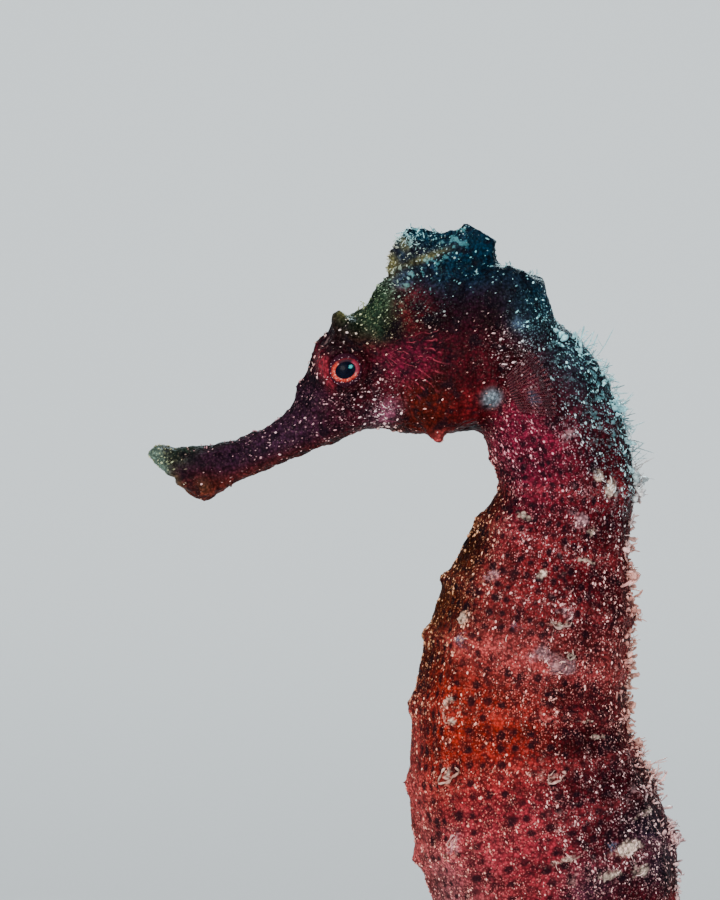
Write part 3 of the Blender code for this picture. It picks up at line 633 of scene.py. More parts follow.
# %% The pale patches
PATCHES = (  # colour, ring, turn in degrees, reach in rings and in degrees, strength
    (LILAC, 2.0, 103, 0.16, 7, 0.75),
    (LILAC, 3.32, 54, 0.12, 7, 0.6),
    (LILAC, 3.62, 106, 0.14, 6, 0.55),
    (LILAC, 4.44, 95, 0.16, 7, 0.85),
    (LILAC, 4.56, 107, 0.19, 9, 1.0),
    (CREAM, 6.42, 49, 0.09, 4, 0.6),
    (CREAM, 6.67, 102, 0.09, 4, 0.5),
    (LILAC, 7.44, 47, 0.17, 5, 0.75),
    (LILAC, 0.58, 97, 0.10, 9, 0.6),
    (ROSE, 4.4, 72, 0.30, 12, 0.7),
    (ROSE, 5.58, 102, 0.12, 7, 0.6),
    (SLATE_BLUE, 4.47, 47, 0.12, 5, 0.8),
    (SLATE_BLUE, 4.04, 77, 0.10, 6, 0.5),
    (SLATE_BLUE, 8.3, 121, 0.10, 5, 0.6),
    (SLATE_BLUE, -0.2, 84, 0.16, 7, 0.9),
    (CREAM, 1.50, 127, 0.13, 6, 0.95),
    (CREAM, 1.36, 117, 0.09, 6, 0.8),
    (CREAM, 2.13, 114, 0.07, 4, 0.9),
    (CREAM, 2.22, 54, 0.10, 7, 0.55),
    (CREAM, 2.63, 113, 0.06, 8, 0.7),
    (CREAM, 3.04, 86, 0.08, 4, 0.9),
    (CREAM, 3.86, 102, 0.05, 7, 0.85),
    (CREAM, 4.12, 44, 0.12, 5, 0.9),
    (CREAM, 4.36, 111, 0.06, 4, 0.85),
    (CREAM, 5.43, 47, 0.09, 4, 0.85),
    (CREAM, 5.68, 50, 0.07, 3, 0.9),
    (CREAM, 5.62, 124, 0.04, 8, 0.7),
    (CREAM, 6.0, 130, 0.08, 5, 0.85),
    (CREAM, 7.94, 146, 0.08, 10, 0.85),
    (CREAM, 8.39, 126, 0.13, 8, 0.9),
    (CREAM, 8.19, 97, 0.07, 8, 0.7),
    (CREAM, 8.7, 114, 0.08, 6, 0.85),
    (CREAM, 8.79, 131, 0.09, 6, 0.85),
)
KNOB_COLOURS = (LILAC, CREAM, SLATE_BLUE, ROSE)


def patches_at(ring, turn, head):
    """The colour of the pale patch nearest to a place, and how near its middle is, from 0 to 1."""
    degrees = np.degrees(turn)
    colour, near = np.tile(np.array(LILAC), (len(ring), 1)), np.zeros(len(ring))
    found = []
    for tint, at_ring, at_turn, reach_ring, reach_turn, strength in PATCHES:
        away = ((ring - at_ring) / reach_ring) ** 2 + ((degrees - at_turn) / reach_turn) ** 2
        found.append((tint, strength * np.exp(-away)))
    crest = np.floor(ring)
    on_crest = np.exp(-(((ring - crest - RING_CREST) / 0.15) ** 2)) * smooth(8.6, 9.2, ring)
    for k, ridge in enumerate(TRUNK_RIDGES[1:] + TAIL_RIDGES):
        here = smooth(10.5, 11.5, ring) if ridge in TAIL_RIDGES else 1 - smooth(10.0, 11.0, ring)
        size = 0.62 + 0.38 * np.sin(12.99 * crest + 7.1 * k)
        found.append((KNOB_COLOURS[k % 4], here * size * on_crest * np.exp(-(((degrees - ridge) / 5.5) ** 2))))
    for tint, amount in found:
        amount = amount * (1 - head)
        colour = np.where((amount > near)[:, None], np.array(tint), colour)
        near = np.maximum(near, amount)
    return np.concatenate([colour, near[:, None]], 1)


# %% Mix the dabs
PAINT_DEPTH = 0.80  # the paint is laid a little dark, so that the light specks outshine it
TAIL_BAND = 6.0  # rings from one pale band of the tail to the next
TAIL_BAND_AT = 12.5


def mean_of_dabs(dabs, a, b, rest, rest_strength):
    """The colour at places (a, b), as the weighted mean of dabs over a colour for the rest."""
    total = np.full(len(a), rest_strength)
    colour = total[:, None] * np.array(rest)
    for tint, at_a, at_b, reach_a, reach_b, strength in dabs:
        weight = strength * np.exp(-(((a - at_a) / reach_a) ** 2) - ((b - at_b) / reach_b) ** 2)
        total = total + weight
        colour = colour + weight[:, None] * np.array(tint)
    return colour / total[:, None]


def paint_at(along, ring, turn, forward, up, head):
    """The skin's colour: dabs on the head and body, paler crests, and broad bands down the tail."""
    body = mean_of_dabs(BODY_DABS, ring, np.degrees(turn), CRIMSON, 0.35)
    _, wave = ridge_and_crest(along, ring, turn)
    tail = smooth(9.5, 12.0, ring)
    band = 0.5 + 0.5 * np.cos(2 * np.pi * (ring - TAIL_BAND_AT) / TAIL_BAND)
    lower = np.array(MAROON) * (1 - band[:, None]) + 0.55 * (np.array(CRIMSON) + np.array(ROSE)) * band[:, None]
    body = body * (1 - tail[:, None]) + lower * tail[:, None]
    on_crest = (0.24 * wave**4 * smooth(0.5, 1.5, ring))[:, None]
    body = body * (0.78 + 0.4 * wave**2)[:, None] * (1 - on_crest) + 0.7 * on_crest * np.array(ROSE)
    face = mean_of_dabs(HEAD_DABS, forward, up, MAROON, 0.3)
    return PAINT_DEPTH * (body * (1 - head[:, None]) + face * head[:, None])


# %% The light specks, and how strong each marking is
SPECK_PINK, SPECK_GOLD, SPECK_CORAL = (0.88, 0.34, 0.30), (0.80, 0.35, 0.10), (0.90, 0.32, 0.19)
# The blue and teal specks on the crown, the nape and the back of the neck are pale specks and also a painted cyan rim
# light.
SPECK_BLUE_AND_RIM_LIGHT, SPECK_TEAL_AND_RIM_LIGHT, SPECK_MOSS = (0.28, 0.88, 0.98), (0.10, 0.52, 0.58), (0.34, 0.55, 0.22)
SPECK_SALMON, SPECK_ROSE = (0.90, 0.48, 0.38), (0.86, 0.27, 0.40)
SPECK_WHITE, SPECK_PLUM, SPECK_OCHRE = (0.92, 0.70, 0.76), (0.44, 0.24, 0.33), (0.76, 0.66, 0.34)
BODY_SPECKS = (  # colour, ring, turn in degrees, reach in rings and in degrees, strength
    (SPECK_GOLD, 3.6, 12, 1.6, 26, 2.5),
    (SPECK_CORAL, 6.2, 50, 1.2, 34, 1.2),
    # the back of the neck: pale specks and a painted cyan rim light
    (SPECK_BLUE_AND_RIM_LIGHT, -0.1, 152, 1.1, 34, 12.0),
    (SPECK_WHITE, 2.4, 105, 1.6, 40, 0.4),
    (SPECK_ROSE, 0.7, 58, 1.4, 44, 1.5),
    (SPECK_WHITE, 7.9, 130, 1.3, 26, 1.0),
    (SPECK_SALMON, 5.0, 180, 3.5, 14, 3.0),
    (SPECK_WHITE, 9.0, 180, 1.6, 14, 3.0),
)
HEAD_SPECKS = (  # colour, forward, up, reach forward and up, strength
    (SPECK_MOSS, -4.6, 8.0, 3.0, 2.2, 3.0),
    (SPECK_OCHRE, -7.2, 11.5, 1.5, 1.4, 4.0),
    (SPECK_OCHRE, -9.6, 10.6, 2.4, 0.5, 4.0),
    # the crown and the nape: pale specks and a painted cyan rim light along the top and back
    (SPECK_TEAL_AND_RIM_LIGHT, -12.5, 9.4, 4.5, 2.6, 12.0),
    (SPECK_BLUE_AND_RIM_LIGHT, -11.5, 13.0, 4.0, 0.8, 8.0),
    (SPECK_BLUE_AND_RIM_LIGHT, -17.2, 3.0, 1.4, 3.0, 12.0),
    (SPECK_PLUM, 8.0, 1.0, 8.0, 3.0, 1.5),
    (SPECK_WHITE, -1.6, -0.6, 1.8, 1.4, 2.5),
    (SPECK_WHITE, -0.8, 6.6, 1.2, 1.0, 2.0),
    (SPECK_WHITE, -14.0, -0.5, 1.8, 2.2, 2.0),
    (SPECK_MOSS, 17.8, 1.5, 1.5, 2.5, 2.5),
    (SPECK_GOLD, 9.0, -3.0, 6.0, 0.7, 2.0),
)
SPOTS_PER_RING, SPOTS_ROUND = 4.1, 6.7  # the second counts per radian of turn
FACE_CROWDS = (  # forward, up, reach, how much more crowded the specks are
    (-4.6, 8.2, 2.3, 0.50),
    (-1.4, -0.8, 2.0, 0.35),
    (8.0, 0.5, 4.5, 0.12),
    (2.5, 1.0, 2.5, 0.25),
    (18.0, 2.2, 1.6, 0.50),
    (-15.0, -0.5, 2.6, 0.60),
    (-11.0, 12.0, 3.5, 0.18),
    (-8.0, 5.8, 1.5, 0.30),
    (-3.0, 1.0, 3.0, 0.12),
    (-18.5, 1.5, 2.2, 0.40),
)
BODY_CROWDS = (  # ring, turn, reach in rings and in radians, how much more crowded the specks are
    (6.0, 0.95, 0.9, 0.5, -0.25),
    (3.0, 0.0, 1.5, 0.7, -0.52),
    (4.5, 1.40, 0.6, 0.6, 0.30),
    (7.9, 1.00, 0.8, 0.5, 0.25),
)


def specks_at(ring, turn, forward, up, head):
    """The colour of the light specks."""
    body = mean_of_dabs(BODY_SPECKS, ring, np.degrees(turn), SPECK_PINK, 0.5)
    face = mean_of_dabs(HEAD_SPECKS, forward, up, SPECK_PINK, 0.4)
    return body * (1 - head[:, None]) + face * head[:, None]


def speck_share(ring, turn, forward, up, head):
    """How crowded the light specks are, from 0 to 1: few on the dark temple and the back of the head."""
    face = 0.05
    for at_forward, at_up, reach, more in FACE_CROWDS:
        face = face + more * dab(forward, up, (at_forward, at_up), reach)
    body = 0.64 + 0.22 * np.sin(ring * 1.7 + 3 * turn)
    for at_ring, at_turn, reach_ring, reach_turn, more in BODY_CROWDS:
        body = body + more * np.exp(-(((ring - at_ring) / reach_ring) ** 2) - ((turn - at_turn) / reach_turn) ** 2)
    return np.clip(body * (1 - head) + face * head, 0, 1)


def markings_at(along, ring, turn, forward, up, head):
    """(dark spots, light specks, crust), each from 0 to 1."""
    degrees = np.degrees(turn)
    spots = (1 - head) * smooth(-0.6, 0.6, ring) * smooth(4, 22, degrees) * (1 - 0.5 * smooth(112, 135, degrees))
    spots = spots * (1 - 0.5 * smooth(10, 14, ring)) + 0.8 * head * dab(forward, up, (-7.5, 4.2), 3.5)
    specks = speck_share(ring, turn, forward, up, head)
    crust = raggedness(along, ring, turn, forward, up, head)
    return np.stack([np.clip(spots, 0, 1), specks, crust], 1)


def spot_place(ring, turn, forward, up, head):
    """Counts spots along and round the body, so that their pattern runs in rows."""
    body = np.stack([ring * SPOTS_PER_RING, turn * SPOTS_ROUND, 0 * ring], 1)
    face = 0.72 * np.stack([forward, up, 0 * ring], 1)
    return np.where(head[:, None] > 0.5, face, body)


def set_attribute(ob, title, kind, values):
    """Stores one value for each point of a mesh."""
    attribute = ob.data.attributes.new(title, kind, "POINT")
    if kind == "FLOAT_COLOR":
        values = np.concatenate([values, np.ones((len(values), 1))], 1)[:, :4]
        attribute.data.foreach_set("color", values.ravel())
    elif kind == "FLOAT_VECTOR":
        attribute.data.foreach_set("vector", values.ravel())
    else:
        attribute.data.foreach_set("value", values)


def dress(ob, places):
    """Gives a mesh the skin's markings, from the places on the animal that its points belong to."""
    _, ring, turn, forward, up, head = places
    set_attribute(ob, "paint", "FLOAT_COLOR", paint_at(*places))
    set_attribute(ob, "speck", "FLOAT_COLOR", specks_at(ring, turn, forward, up, head))
    set_attribute(ob, "patch", "FLOAT_COLOR", patches_at(ring, turn, head))
    set_attribute(ob, "markings", "FLOAT_VECTOR", markings_at(*places))
    set_attribute(ob, "place", "FLOAT_VECTOR", spot_place(ring, turn, forward, up, head))


# %% [markdown]
# ## Pale bulbs, and the colours on the skin
# Here and there a soft pale bulb swells out of the skin. The function that colours the patches also says how near the
# middle of one a place is, so the same numbers raise the skin under them. The markings are then stored on the points
# as attributes, which a material can read.

# %% Raise the bulbs and mark the skin
BULB_RISE = 0.34  # how far the pale patches stand out
points, normals = points_of(skin), normals_of(skin)
along, ring, turn = body_place(points)
forward, up = head_place(points)
skin_places = (along, ring, turn, forward, up, on_head(forward, up))
bulbs = smooth(0.3, 0.9, patches_at(ring, turn, skin_places[5])[:, 3])
points += normals * (BULB_RISE * bulbs * MM)[:, None]
set_points(skin, points)
normals = normals_of(skin)
dress(skin, skin_places)
fan_turn = np.arctan2(up - GILL_FAN_AT[1], GILL_FAN_AT[0] - forward)
set_attribute(skin, "ribs", "FLOAT_VECTOR", np.stack([2 * GILL_RIBS * fan_turn, on_ribs, 0 * up], 1))
print("mean colour of the skin:", paint_at(*skin_places).mean(0).round(3))

# %% [markdown]
# ## The finish of the skin
# One material is built from nodes: the painted colour, rows of dark spots from a flat Voronoi pattern laid in ring
# coordinates, light specks of three sizes from Voronoi patterns in space, pale patches with worn borders, and a light
# crust where the skin is ragged. The same builder serves the grains and the fringes, so that all carry the same
# markings. The skin is kept nearly matt. Its bright points are grains, and the brightest of them are painted near
# white: partly pale pigment, partly painted highlights of the wet skin.

# %% Helpers for node trees


def node(tree, kind, settings=None, **inputs):
    """Adds a node. Inputs given by name or by i0, i1 are linked if they are sockets and set if they are values."""
    made = tree.nodes.new(kind)
    for name, value in (settings or {}).items():
        setattr(made, name, value)
    for name, value in inputs.items():
        socket = made.inputs[int(name[1:]) if name[0] == "i" and name[1:].isdigit() else name.replace("_", " ")]
        if isinstance(value, bpy.types.NodeSocket):
            tree.links.new(value, socket)
        else:
            socket.default_value = value
    return made


def ramp(tree, value, low, high, to_low=0.0, to_high=1.0):
    """A soft step from to_low to to_high while the value goes from low to high."""
    settings = {"interpolation_type": "SMOOTHSTEP"}
    made = node(tree, "ShaderNodeMapRange", settings, i0=value, i1=low, i2=high, i3=to_low, i4=to_high)
    return made.outputs[0]


def math_of(tree, operation, a, b=0.0):
    return node(tree, "ShaderNodeMath", {"operation": operation}, i0=a, i1=b).outputs[0]


def times(tree, *factors):
    product = factors[0]
    for factor in factors[1:]:
        product = math_of(tree, "MULTIPLY", product, factor)
    return product


def vector_math(tree, operation, *vectors, output=0):
    inputs = {f"i{k}": vector for k, vector in enumerate(vectors)}
    return node(tree, "ShaderNodeVectorMath", {"operation": operation}, **inputs).outputs[output]


def scaled(tree, vector, amount):
    return node(tree, "ShaderNodeVectorMath", {"operation": "SCALE"}, i0=vector, Scale=amount).outputs[0]


def split(tree, vector):
    return node(tree, "ShaderNodeSeparateXYZ", i0=vector).outputs


def mixed(tree, amount, first, second):
    return node(tree, "ShaderNodeMix", {"data_type": "RGBA"}, i0=amount, i6=first, i7=second).outputs[2]


def soft_noise(tree, where, scale, detail=2.0):
    """Soft noise, as its value and its colour. The scale counts clouds in a metre, for a place in metres."""
    return node(tree, "ShaderNodeTexNoise", Vector=where, Scale=scale, Detail=detail).outputs


def stretched(tree, where, scale, shift=(0.0, 0.0, 0.0)):
    return node(tree, "ShaderNodeMapping", i0=where, i1=shift, i3=scale).outputs[0]


def object_place(tree):
    return node(tree, "ShaderNodeTexCoord").outputs["Object"]


def attribute(tree, title, output="Color"):
    return node(tree, "ShaderNodeAttribute", {"attribute_name": title}).outputs[output]


def new_material(title, **constants):
    """A material with one Principled shader, whose even values are set on its own sockets."""
    material = bpy.data.materials.new(title)
    material.use_nodes = True
    shader = material.node_tree.nodes["Principled BSDF"]
    for name, value in constants.items():
        shader.inputs[name.replace("_", " ")].default_value = value
    return material, material.node_tree, shader


def lay(tree, shader, **layers):
    """Links what varies over the surface to the shader."""
    for name, value in layers.items():
        tree.links.new(value, shader.inputs[name.replace("_", " ")])


def bump(tree, height, strength, distance, invert=False):
    """A bump that stands out by the distance in mm."""
    settings, reach = {"invert": invert}, distance * MM
    return node(tree, "ShaderNodeBump", settings, Strength=strength, Distance=reach, Height=height).outputs[0]


# %% The skin's material
SPOT_DARK = (0.002, 0.0012, 0.003)  # the spots keep this much colour, and a twentieth of the paint's
SPECK_KINDS = ((1900.0, 0.24, 0.30), (3300.0, 0.34, 0.15), (5200.0, 0.42, 0.15))  # in a metre, reach, share left out
RIB_PINK = (0.46, 0.06, 0.09, 1)


def marked_colour(tree, where):
    """The painted colour with mottling, dark spots and pale patches.

    Also returns the stored markings, the pebbles, the fine noise and the spots, for others to use.
    """
    paint, markings = attribute(tree, "paint"), split(tree, attribute(tree, "markings", "Vector"))
    redness = node(tree, "ShaderNodeSeparateColor", i0=paint).outputs[0]
    broad = soft_noise(tree, where, 420.0, 4.0)
    fine = soft_noise(tree, where, 3000.0, 3.0)[0]
    blotch = soft_noise(tree, where, 900.0)[0]
    pebbles = node(tree, "ShaderNodeTexVoronoi", Vector=where, Scale=3600.0).outputs["Distance"]
    value = times(tree, ramp(tree, broad[0], 0.3, 0.7, 0.55, 1.4), ramp(tree, fine, 0.35, 0.65, 0.65, 1.3))
    value = times(tree, value, ramp(tree, pebbles, 0.15, 0.75, 1.25, 0.45))
    mottled = scaled(tree, paint, value)
    dark = vector_math(tree, "MULTIPLY_ADD", paint, (0.05, 0.05, 0.05), SPOT_DARK)
    clouded = times(tree, ramp(tree, blotch, 0.50, 0.66), ramp(tree, redness, 0.10, 0.24, 0.8, 0.3))
    mottled = mixed(tree, clouded, mottled, dark)
    place = vector_math(tree, "ADD", attribute(tree, "place", "Vector"), scaled(tree, broad[1], 0.6))
    settings = {"voronoi_dimensions": "2D"}
    spots = node(tree, "ShaderNodeTexVoronoi", settings, Vector=place, Scale=1.0, Randomness=0.4).outputs
    pick = split(tree, spots["Color"])
    reach = math_of(tree, "SUBTRACT", spots["Distance"], ramp(tree, pick[1], 0.0, 1.0, -0.04, 0.07))
    reach = math_of(tree, "SUBTRACT", reach, ramp(tree, fine, 0.3, 0.7, -0.03, 0.03))
    spot = times(tree, ramp(tree, reach, 0.35, 0.11), ramp(tree, pick[0], 0.0, 0.6, 0.40, 0.95), markings[0])
    spotted = mixed(tree, spot, mottled, dark)
    border = math_of(tree, "ADD", attribute(tree, "patch", "Alpha"), ramp(tree, blotch, 0.3, 0.7, -0.18, 0.18))
    border = math_of(tree, "ADD", border, ramp(tree, fine, 0.3, 0.7, -0.15, 0.15))
    pale = scaled(tree, attribute(tree, "patch"), value)
    return mixed(tree, ramp(tree, border, 0.25, 0.85, 0.0, 0.82), spotted, pale), markings, pebbles, fine, spot


def skin_material():
    material, tree, shader = new_material("granular_skin", Specular_IOR_Level=0.02)
    where = object_place(tree)
    colour, markings, pebbles, fine, spot = marked_colour(tree, where)
    broad = soft_noise(tree, where, 500.0)[0]
    crumbs = soft_noise(tree, where, 1500.0, 4.0)[0]
    speck = 0.0
    for scale, size, least in SPECK_KINDS:
        cells = node(tree, "ShaderNodeTexVoronoi", Vector=where, Scale=scale).outputs
        picked = ramp(tree, split(tree, cells["Color"])[0], least, 1.0)
        speck = math_of(tree, "MAXIMUM", speck, times(tree, ramp(tree, cells["Distance"], size, 0.4 * size), picked))
    between_spots = math_of(tree, "SUBTRACT", 1.0, times(tree, spot, 0.8))
    speck = times(tree, speck, between_spots, markings[1], ramp(tree, broad, 0.35, 0.6, 0.4, 1.4))
    glow = scaled(tree, attribute(tree, "paint"), 1.5)
    glow = vector_math(tree, "MULTIPLY_ADD", attribute(tree, "speck"), (0.34, 0.30, 0.30), glow)
    colour = mixed(tree, speck, colour, glow)
    crust = times(tree, ramp(tree, crumbs, 0.57, 0.68), markings[2])
    colour = mixed(tree, times(tree, crust, 0.3), colour, attribute(tree, "speck"))
    ribs = split(tree, attribute(tree, "ribs", "Vector"))
    rib = math_of(tree, "SINE", math_of(tree, "ADD", ribs[0], ramp(tree, broad, 0.3, 0.7, -2.4, 2.4)))
    rib = times(tree, ramp(tree, rib, 0.72, 1.0), ribs[1], ramp(tree, crumbs, 0.44, 0.62))
    colour = mixed(tree, times(tree, rib, 0.5), colour, RIB_PINK)
    height = times(tree, math_of(tree, "ADD", fine, speck), 0.4)
    height = math_of(tree, "SUBTRACT", height, times(tree, pebbles, 0.7))
    height = math_of(tree, "ADD", height, times(tree, math_of(tree, "ADD", crust, rib), 0.5))
    roughness = ramp(tree, fine, 0.3, 0.7, 0.38, 0.62)
    lay(tree, shader, Base_Color=colour, Roughness=roughness, Normal=bump(tree, height, 0.8, 0.16))
    return material


skin.data.materials.append(skin_material())
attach(skin, "root")
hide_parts(*(TRUNK_NODES + HEAD_NODES))
print("skin material nodes:", len(skin.data.materials[0].node_tree.nodes))

# %% [markdown]
# ## The eyes
# Each eye is a wet ball with a navy pupil, a coral ring round it and a dark speckled rim. It begins as a sphere whose
# pole looks aside, and a low bulge is raised over the pupil, as the cornea of a fish stands proud. The ring is
# painted by nodes from the distance to the gaze, so it stays a clean oval at any zoom. It turns mauve behind, carries
# painted pink highlights, and is darkened on top by painted shade of the lid. A small teal highlight of the lens is
# painted in the pupil.

# %% Model the eyes
PUPIL, RING_EDGE, RING_WIDTH = 0.73, 1.03, 1.24  # the last is how much wider than high they are
CORNEA_RISE = 0.10
# A teal highlight of the lens is painted in the pupil at this place.
PAINTED_GLEAM_AT = (-0.44, 0.14, 0.0)  # the teal gleam of the lens, forward and up


def eye(title, side):
    """An eyeball that looks aside, with the side 1 on the left and -1 on the right."""
    bpy.ops.object.select_all(action="DESELECT")
    bpy.ops.mesh.primitive_uv_sphere_add(segments=64, ring_count=40, radius=EYE_RADIUS * MM)
    bpy.ops.object.mode_set(mode="EDIT")
    bpy.ops.mesh.select_all(action="SELECT")
    bpy.ops.transform.rotate(value=math.pi / 2, orient_axis="X", center_override=(0, 0, 0))
    bpy.ops.object.mode_set(mode="OBJECT")
    ob = bpy.context.object
    ob.name = title
    points = points_of(ob) / MM
    from_gaze = np.hypot(points[:, 0], points[:, 2])
    facing = points[:, 1] * side < 0
    points[:, 1] -= side * CORNEA_RISE * np.exp(-(from_gaze**2)) * facing
    c, s = math.cos(HEAD_PITCH), math.sin(HEAD_PITCH)
    place = np.stack([-c * points[:, 0] - s * points[:, 2], c * points[:, 2] - s * points[:, 0], 0 * from_gaze], 1)
    set_points(ob, points * MM + head_to_world(EYE_AT[0], side * EYE_AT[1], EYE_AT[2]))
    set_attribute(ob, "from_gaze", "FLOAT_VECTOR", place)
    bpy.ops.object.shade_smooth()
    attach(ob, "root")
    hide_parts(title)
    return ob


eyes = [eye("eye_left", 1), eye("eye_right", -1)]

# %% The eye's material
CORALS = (0.26, 0.010, 0.007, 1), (0.50, 0.060, 0.036, 1)
PAINTED_GLINT_PINK, HIND_MAUVE = (0.86, 0.32, 0.27, 1), (0.16, 0.016, 0.05, 1)
LID_SHADOW_BLACK, OUTER_RED = (0.012, 0.008, 0.014, 1), (0.12, 0.004, 0.006, 1)
RIM_DARK, RIM_SPECK = (0.022, 0.004, 0.010, 1), (0.50, 0.30, 0.34, 1)
PUPIL_NAVIES = (0.0005, 0.0006, 0.003, 1), (0.001, 0.003, 0.013, 1)
PAINTED_GLEAM_TEAL = (0.04, 0.30, 0.30, 1)


def eye_material():
    gloss = {"Coat_Weight": 0.05, "Coat_Roughness": 0.03, "Coat_IOR": 1.3}
    material, tree, shader = new_material("wet_eye", Roughness=0.4, Specular_IOR_Level=0.03, **gloss)
    place = stretched(tree, attribute(tree, "from_gaze", "Vector"), (1 / RING_WIDTH, 1.0, 1.0))
    away = vector_math(tree, "LENGTH", place, output="Value")
    around = vector_math(tree, "NORMALIZE", place)
    behind = vector_math(tree, "DOT_PRODUCT", around, (-0.98, 0.2, 0.0), output="Value")
    above = vector_math(tree, "DOT_PRODUCT", around, (-0.25, 0.97, 0.0), output="Value")
    grain = soft_noise(tree, place, 9.0, 3.0)[0]
    coral = mixed(tree, ramp(tree, soft_noise(tree, around, 6.0, 4.0)[0], 0.35, 0.65), *CORALS)
    for amount, tint in (
        # painted pink highlights on the ring
        (ramp(tree, soft_noise(tree, place, 4.5)[0], 0.52, 0.66, 0.0, 0.7), PAINTED_GLINT_PINK),
        (ramp(tree, behind, 0.3, 0.8, 0.0, 0.75), HIND_MAUVE),
        # painted shade of the lid, darkening the top of the ring
        (ramp(tree, above, 0.70, 0.90, 0.0, 0.95), LID_SHADOW_BLACK),
        (ramp(tree, away, 0.84, 1.0, 0.0, 0.6), OUTER_RED),
    ):
        coral = mixed(tree, amount, coral, tint)
    cells = node(tree, "ShaderNodeTexVoronoi", Vector=place, Scale=5.5).outputs["Distance"]
    rim = mixed(tree, ramp(tree, cells, 0.25, 0.12), RIM_DARK, RIM_SPECK)
    edge = math_of(tree, "ADD", away, ramp(tree, grain, 0.3, 0.7, -0.06, 0.06))
    colour = mixed(tree, ramp(tree, edge, RING_EDGE - 0.06, RING_EDGE + 0.05), coral, rim)
    # The painted teal highlight of the lens.
    painted_gleam = vector_math(tree, "DISTANCE", place, PAINTED_GLEAM_AT, output="Value")
    painted_gleam = math_of(tree, "ADD", painted_gleam, ramp(tree, grain, 0.3, 0.7, -0.04, 0.04))
    pupil = mixed(tree, ramp(tree, grain, 0.4, 0.7), *PUPIL_NAVIES)
    pupil = mixed(tree, ramp(tree, painted_gleam, 0.20, 0.08), pupil, PAINTED_GLEAM_TEAL)
    lay(tree, shader, Base_Color=mixed(tree, ramp(tree, away, PUPIL - 0.03, PUPIL + 0.05), pupil, colour))
    return material


wet_eye = eye_material()
for ob in eyes:
    ob.data.materials.append(wet_eye)
print("eyes:", [len(ob.data.polygons) for ob in eyes], "faces each")

# %% [markdown]
# ## The fins
# Seahorses have a fan on the back, a pair behind the gill covers and a tiny one under the trunk. Each is a clear
# membrane held by fine rays. A grid is spread between the line of roots and the line of tips, its free edge is drawn
# in between the rays, and Solidify gives it a wall that a vertex group makes thick on the rays and thin between.

# %% The finish of a fin
def shade(colour, share=1.0):
    """A colour as a socket takes it, darkened to a share of its light."""
    return tuple(share * part for part in colour) + (1,)


def fin_material(title, membrane, rays, band, solidity):
    gloss = {"Coat_Weight": 0.06, "Coat_Roughness": 0.1}
    material, tree, shader = new_material(title, Roughness=0.4, Specular_IOR_Level=0.12, **gloss)
    _, out, ray = split(tree, attribute(tree, "fin_place", "Vector"))
    mottle = soft_noise(tree, object_place(tree), 1300.0, 4.0)[0]
    joints = math_of(tree, "SINE", times(tree, out, 70.0))
    between = mixed(tree, ramp(tree, mottle, 0.35, 0.65), shade(membrane), shade(membrane, 0.5))
    on_ray = mixed(tree, ramp(tree, joints, -0.6, 0.6, 0.0, 0.5), shade(rays), shade(rays, 0.4))
    colour = mixed(tree, ramp(tree, ray, 0.35, 0.8), between, on_ray)
    edge = math_of(tree, "ADD", out, ramp(tree, mottle, 0.3, 0.7, -0.08, 0.08))
    dark = times(tree, ramp(tree, edge, 0.66, 0.76), ramp(tree, edge, 0.96, 0.88))
    colour = mixed(tree, times(tree, dark, 0.85), colour, shade(band))
    solid = ramp(tree, ray, 0.2, 0.8, 0.36 * solidity, 0.8 * solidity)
    solid = math_of(tree, "MAXIMUM", solid, times(tree, dark, 0.6))
    solid = math_of(tree, "MAXIMUM", solid, ramp(tree, out, 0.3, 0.0))
    lay(tree, shader, Base_Color=colour, Alpha=solid, Normal=bump(tree, mottle, 0.5, 0.05))
    return material


# %% Spread a fin
FIN_WALL, THIN_SHARE = 0.30, 0.22  # the wall on a ray, and how much of it is left between two
FIN_STEPS = 26  # faces from root to tip, with eight across for each ray


def fin(title, rays, roots_and_tips, bulge, colours, solidity=1.0):
    """Spreads a fin between the lines of roots and tips that a function gives for shares of the way along its base."""
    bpy.ops.object.select_all(action="DESELECT")
    bpy.ops.mesh.primitive_grid_add(x_subdivisions=rays * 8, y_subdivisions=FIN_STEPS, size=1)
    ob = bpy.context.object
    ob.name = title
    grid = points_of(ob)
    across, out = grid[:, 0] + 0.5, grid[:, 1] + 0.5
    ray = (0.5 + 0.5 * np.cos(2 * np.pi * (across * rays - 0.5))) ** 3
    roots, tips = roots_and_tips(across)
    reach = out * (1 - 0.05 * (1 - ray) * smooth(0.7, 1.0, out))
    points = roots + (tips - roots) * reach[:, None]
    sway = bulge * np.sin(np.pi * across) * out + 0.16 * np.sin(across * 9 + 1) * out**2
    points[:, 1] -= sway * MM
    set_points(ob, points)
    set_attribute(ob, "fin_place", "FLOAT_VECTOR", np.stack([across * rays, out, ray], 1))
    weigh(ob, "ray", ray * (1 - 0.6 * out))
    wall = {"thickness": FIN_WALL * MM, "offset": 0.0, "vertex_group": "ray", "thickness_vertex_group": THIN_SHARE}
    finish_with(ob, "SOLIDIFY", **wall)
    ob.vertex_groups.clear()
    bpy.ops.object.shade_smooth()
    ob.data.materials.append(fin_material(title + "_membrane", *colours, solidity))
    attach(ob, "root")
    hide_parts(title)
    print(title, "faces:", len(ob.data.polygons))


# %% The fins on the back and under the trunk
DORSAL_RINGS, DORSAL_LENGTH, DORSAL_RAYS = (9.9, 12.6), 8.5, 17
ANAL_RINGS, ANAL_LENGTH, ANAL_RAYS = (10.75, 11.2), 3.5, 4
DORSAL_COLOURS = (0.42, 0.16, 0.13), (0.60, 0.28, 0.22), (0.12, 0.012, 0.015)  # membrane, rays and dark band
ANAL_COLOURS = (0.36, 0.10, 0.09), (0.55, 0.22, 0.18), (0.14, 0.015, 0.02)
ring_count = rings_before(ALONG)


